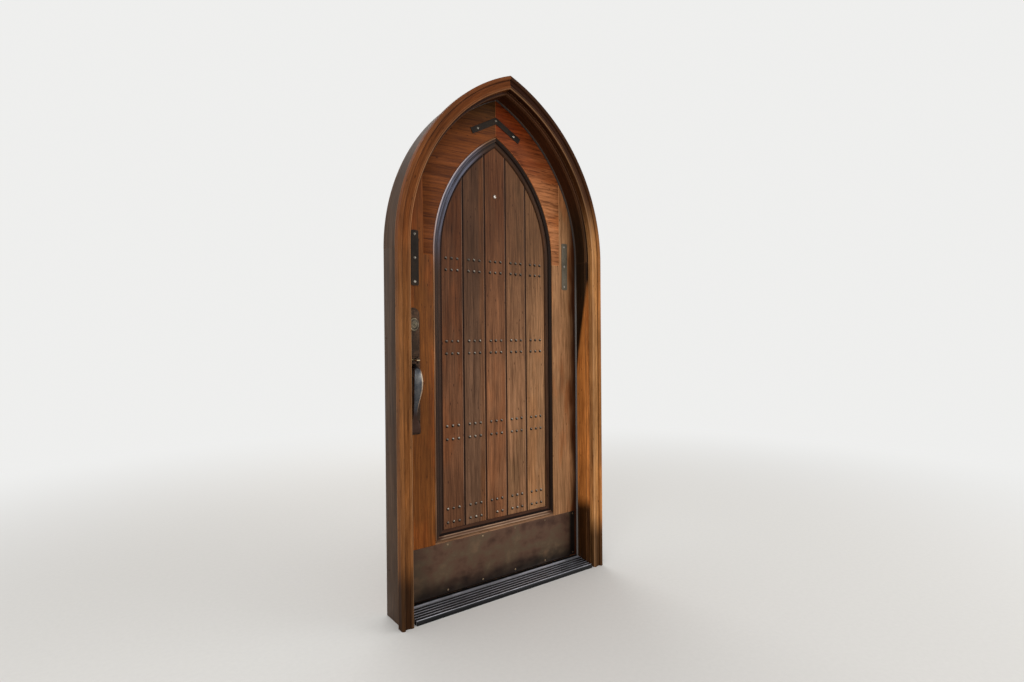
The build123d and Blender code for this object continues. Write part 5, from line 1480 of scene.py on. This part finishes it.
class ARCHEDDOOR_OT_lock(bpy.types.Operator):
    """Inside plate, turn and knob, the bolts and cases in the leaf's edge and the strikes in the jamb"""

    bl_idname = "arched_door.lock"
    bl_label = "Lock"

    def execute(self, context):
        _, colours, _ = settings()
        tone = tuple(colours.bronze)
        bronze = metal("inside_bronze", scaled(tone, 0.9), scaled(tone, 1.6, 1.4, 1.2), 16.0, rough=0.36)
        brass = metal("bolt_brass", scaled(colours.brass, 0.7), scaled(colours.brass, 1.2), 17.0, rough=0.3)
        worked_copy("inside_plate", bronze, ease=0.0004)
        worked_copy("thumb_turn", bronze, ease=0.0004)
        worked_copy("inside_knob", bronze, ease=0.0)
        bolts = ("dead_bolt", "latch_bolt", "deadbolt_case", "latch_case", "deadbolt_strike", "latch_strike")
        for node in bolts:
            worked_copy(node, brass, ease=0.0002)
        return {"FINISHED"}


class ARCHEDDOOR_OT_hinges(bpy.types.Operator):
    """Three butt hinges with their pins, and the plain screws of hinges, strikes and threshold"""

    bl_idname = "arched_door.hinges"
    bl_label = "Hinges"

    def execute(self, context):
        steel = metal("hinge_bronzed_steel", shade(78, 62, 46), shade(128, 106, 80), 18.0, rough=0.36)
        screws = metal(
            "plain_screw_metal", shade(96, 84, 66), shade(150, 134, 104), 19.0, rough=0.3, scale=2.0
        )
        for kind in ("frame", "door"):
            for name in ("bottom", "middle", "top"):
                worked_copy("%s_hinge_leaf_%s" % (kind, name), steel, ease=0.0003)
        worked_copy("hinge_pins", steel, ease=0.0)
        for node in ("frame_screws", "leaf_screws"):
            worked_copy(node, screws, ease=0.0)
        return {"FINISHED"}


# Stage


class ARCHEDDOOR_OT_stage(bpy.types.Operator):
    """Pale floor, soft lamps, even light and the camera at the photograph's place"""

    bl_idname = "arched_door.stage"
    bl_label = "Stage"

    def execute(self, context):
        scene = context.scene
        stage = scene.arched_door_stage
        self.floor(scene, stage)
        scene.world = self.world(stage)
        self.lamp(scene, "key_lamp", (-3.4, -3.6, 3.2), 3.2, stage.key)
        self.lamp(scene, "fill_lamp", (3.4, -3.4, 2.2), 3.0, stage.fill)
        self.lamp(scene, "back_lamp", (1.5, 4.2, 3.0), 3.0, stage.back)
        self.camera(scene, stage)
        scene.view_settings.view_transform = "Standard"
        return {"FINISHED"}

    def floor(self, scene, stage):
        """A disc of rings whose radius grows by a constant ratio, so that it is fine under the door."""
        radii = np.concatenate(((0.0,), 0.3 * 1.35 ** np.arange(14)))
        level = np.full(len(radii), -0.0002)
        mesh = build_mesh("floor_disc", [lathe(radii, level, 72, (0, 0, 0), (0, 0, 1), capped=False)])
        if mesh.polygons[0].normal.z < 0:
            mesh.flip_normals()
        g = Graph("floor_pale")
        place = g.object_place()
        far = g.pick("Value", "VectorMath", {"operation": "LENGTH"}, Vector=place)
        tone = tuple(stage.floor)
        colour = g.ramp(g.noise(place, 60.0), (0.3, scaled(tone, 0.97)), (0.7, tone))
        shader = g.node("BsdfPrincipled", Base_Color=colour, Roughness=0.85)
        glow = g.node("Emission", Color=tuple(stage.backdrop), Strength=1.0)
        mesh.materials.append(g.finish(g.blend(g.remap(far, 1.5, 4.6), shader, glow)))
        disc = bpy.data.objects.new("floor", mesh)
        scene.collection.objects.link(disc)

    def world(self, stage):
        """Even light on the object, and the pale backdrop where the camera, glass or metal looks past it."""
        g = Graph("soft_studio", "worlds")
        path = g.node("LightPath").outputs
        shown = g.math("MAXIMUM", path["Is Camera Ray"], path["Is Transmission Ray"])
        shown = g.math("MAXIMUM", shown, path["Is Glossy Ray"])
        even = g.node("Background", Color=(1.0, 0.985, 0.96), Strength=stage.ambient)
        pale = g.node("Background", Color=tuple(stage.backdrop))
        return g.finish(g.blend(shown, even, pale), "OutputWorld")

    def lamp(self, scene, name, place, size, watts):
        """A square soft lamp that faces the middle of the door."""
        light = bpy.data.lights.new(name, "AREA")
        light.size = size
        light.energy = watts
        lamp = bpy.data.objects.new(name, light)
        lamp.location = place
        lamp.rotation_euler = (Vector((0.0, 0.0, 1.1)) - Vector(place)).to_track_quat("-Z", "Y").to_euler()
        scene.collection.objects.link(lamp)

    def camera(self, scene, stage):
        """The photograph's camera: it looks along yaw and pitch and leans by roll."""
        yaw, pitch, roll = stage.yaw, stage.pitch, stage.roll
        forward = Vector((np.cos(yaw) * np.cos(pitch), np.sin(yaw) * np.cos(pitch), np.sin(pitch)))
        level = Vector((np.sin(yaw), -np.cos(yaw), 0.0))
        right = level * np.cos(roll) + level.cross(forward) * np.sin(roll)
        up = right.cross(forward)
        data = bpy.data.cameras.new("photo_camera")
        data.sensor_width = 36.0
        data.lens = stage.lens
        data.clip_start, data.clip_end = 0.02, 200.0
        camera = bpy.data.objects.new("photo_camera", data)
        turned = Matrix((right, up, -forward)).transposed().to_4x4()
        camera.matrix_world = Matrix.Translation(stage.eye) @ turned
        scene.collection.objects.link(camera)
        scene.camera = camera


OPERATORS = (
    ARCHEDDOOR_OT_stage,
    ARCHEDDOOR_OT_planks,
    ARCHEDDOOR_OT_framing,
    ARCHEDDOOR_OT_moulding,
    ARCHEDDOOR_OT_studs,
    ARCHEDDOOR_OT_viewer,
    ARCHEDDOOR_OT_frame_wood,
    ARCHEDDOOR_OT_seals,
    ARCHEDDOOR_OT_saddle,
    ARCHEDDOOR_OT_kick_plate,
    ARCHEDDOOR_OT_ironwork,
    ARCHEDDOOR_OT_handleset,
    ARCHEDDOOR_OT_lock,
    ARCHEDDOOR_OT_hinges,
)


class ARCHEDDOOR_PT_panel(bpy.types.Panel):
    """Lists the door's sizes, colours and stage, and a button for each group of pieces"""

    bl_idname = "ARCHEDDOOR_PT_panel"
    bl_label = "Arched door"
    bl_space_type = "VIEW_3D"
    bl_region_type = "UI"
    bl_category = "Arched door"

    def draw(self, context):
        for group in settings():
            box = self.layout.box()
            for name in group.bl_rna.properties.keys():
                if name not in ("rna_type", "name"):
                    box.prop(group, name)
        for operator in OPERATORS:
            self.layout.operator(operator.bl_idname)


GROUPS = {
    "arched_door_sizes": ArchedDoorSizes,
    "arched_door_colours": ArchedDoorColours,
    "arched_door_stage": ArchedDoorStage,
}
CLASSES = (*GROUPS.values(), *OPERATORS, ARCHEDDOOR_PT_panel)


def register():
    """Registers the classes and puts the settings on the scene."""
    for group in CLASSES:
        bpy.utils.register_class(group)
    for name, group in GROUPS.items():
        setattr(bpy.types.Scene, name, bpy.props.PointerProperty(type=group))


def unregister():
    """Takes the settings off the scene again, and then the classes."""
    for name in GROUPS:
        delattr(bpy.types.Scene, name)
    for group in reversed(CLASSES):
        bpy.utils.unregister_class(group)


def main():
    """Builds the stage and then every piece."""
    register()
    for operator in OPERATORS:
        name = operator.bl_idname.split(".")[1]
        getattr(bpy.ops.arched_door, name)()


if __name__ == "__main__":
    main()
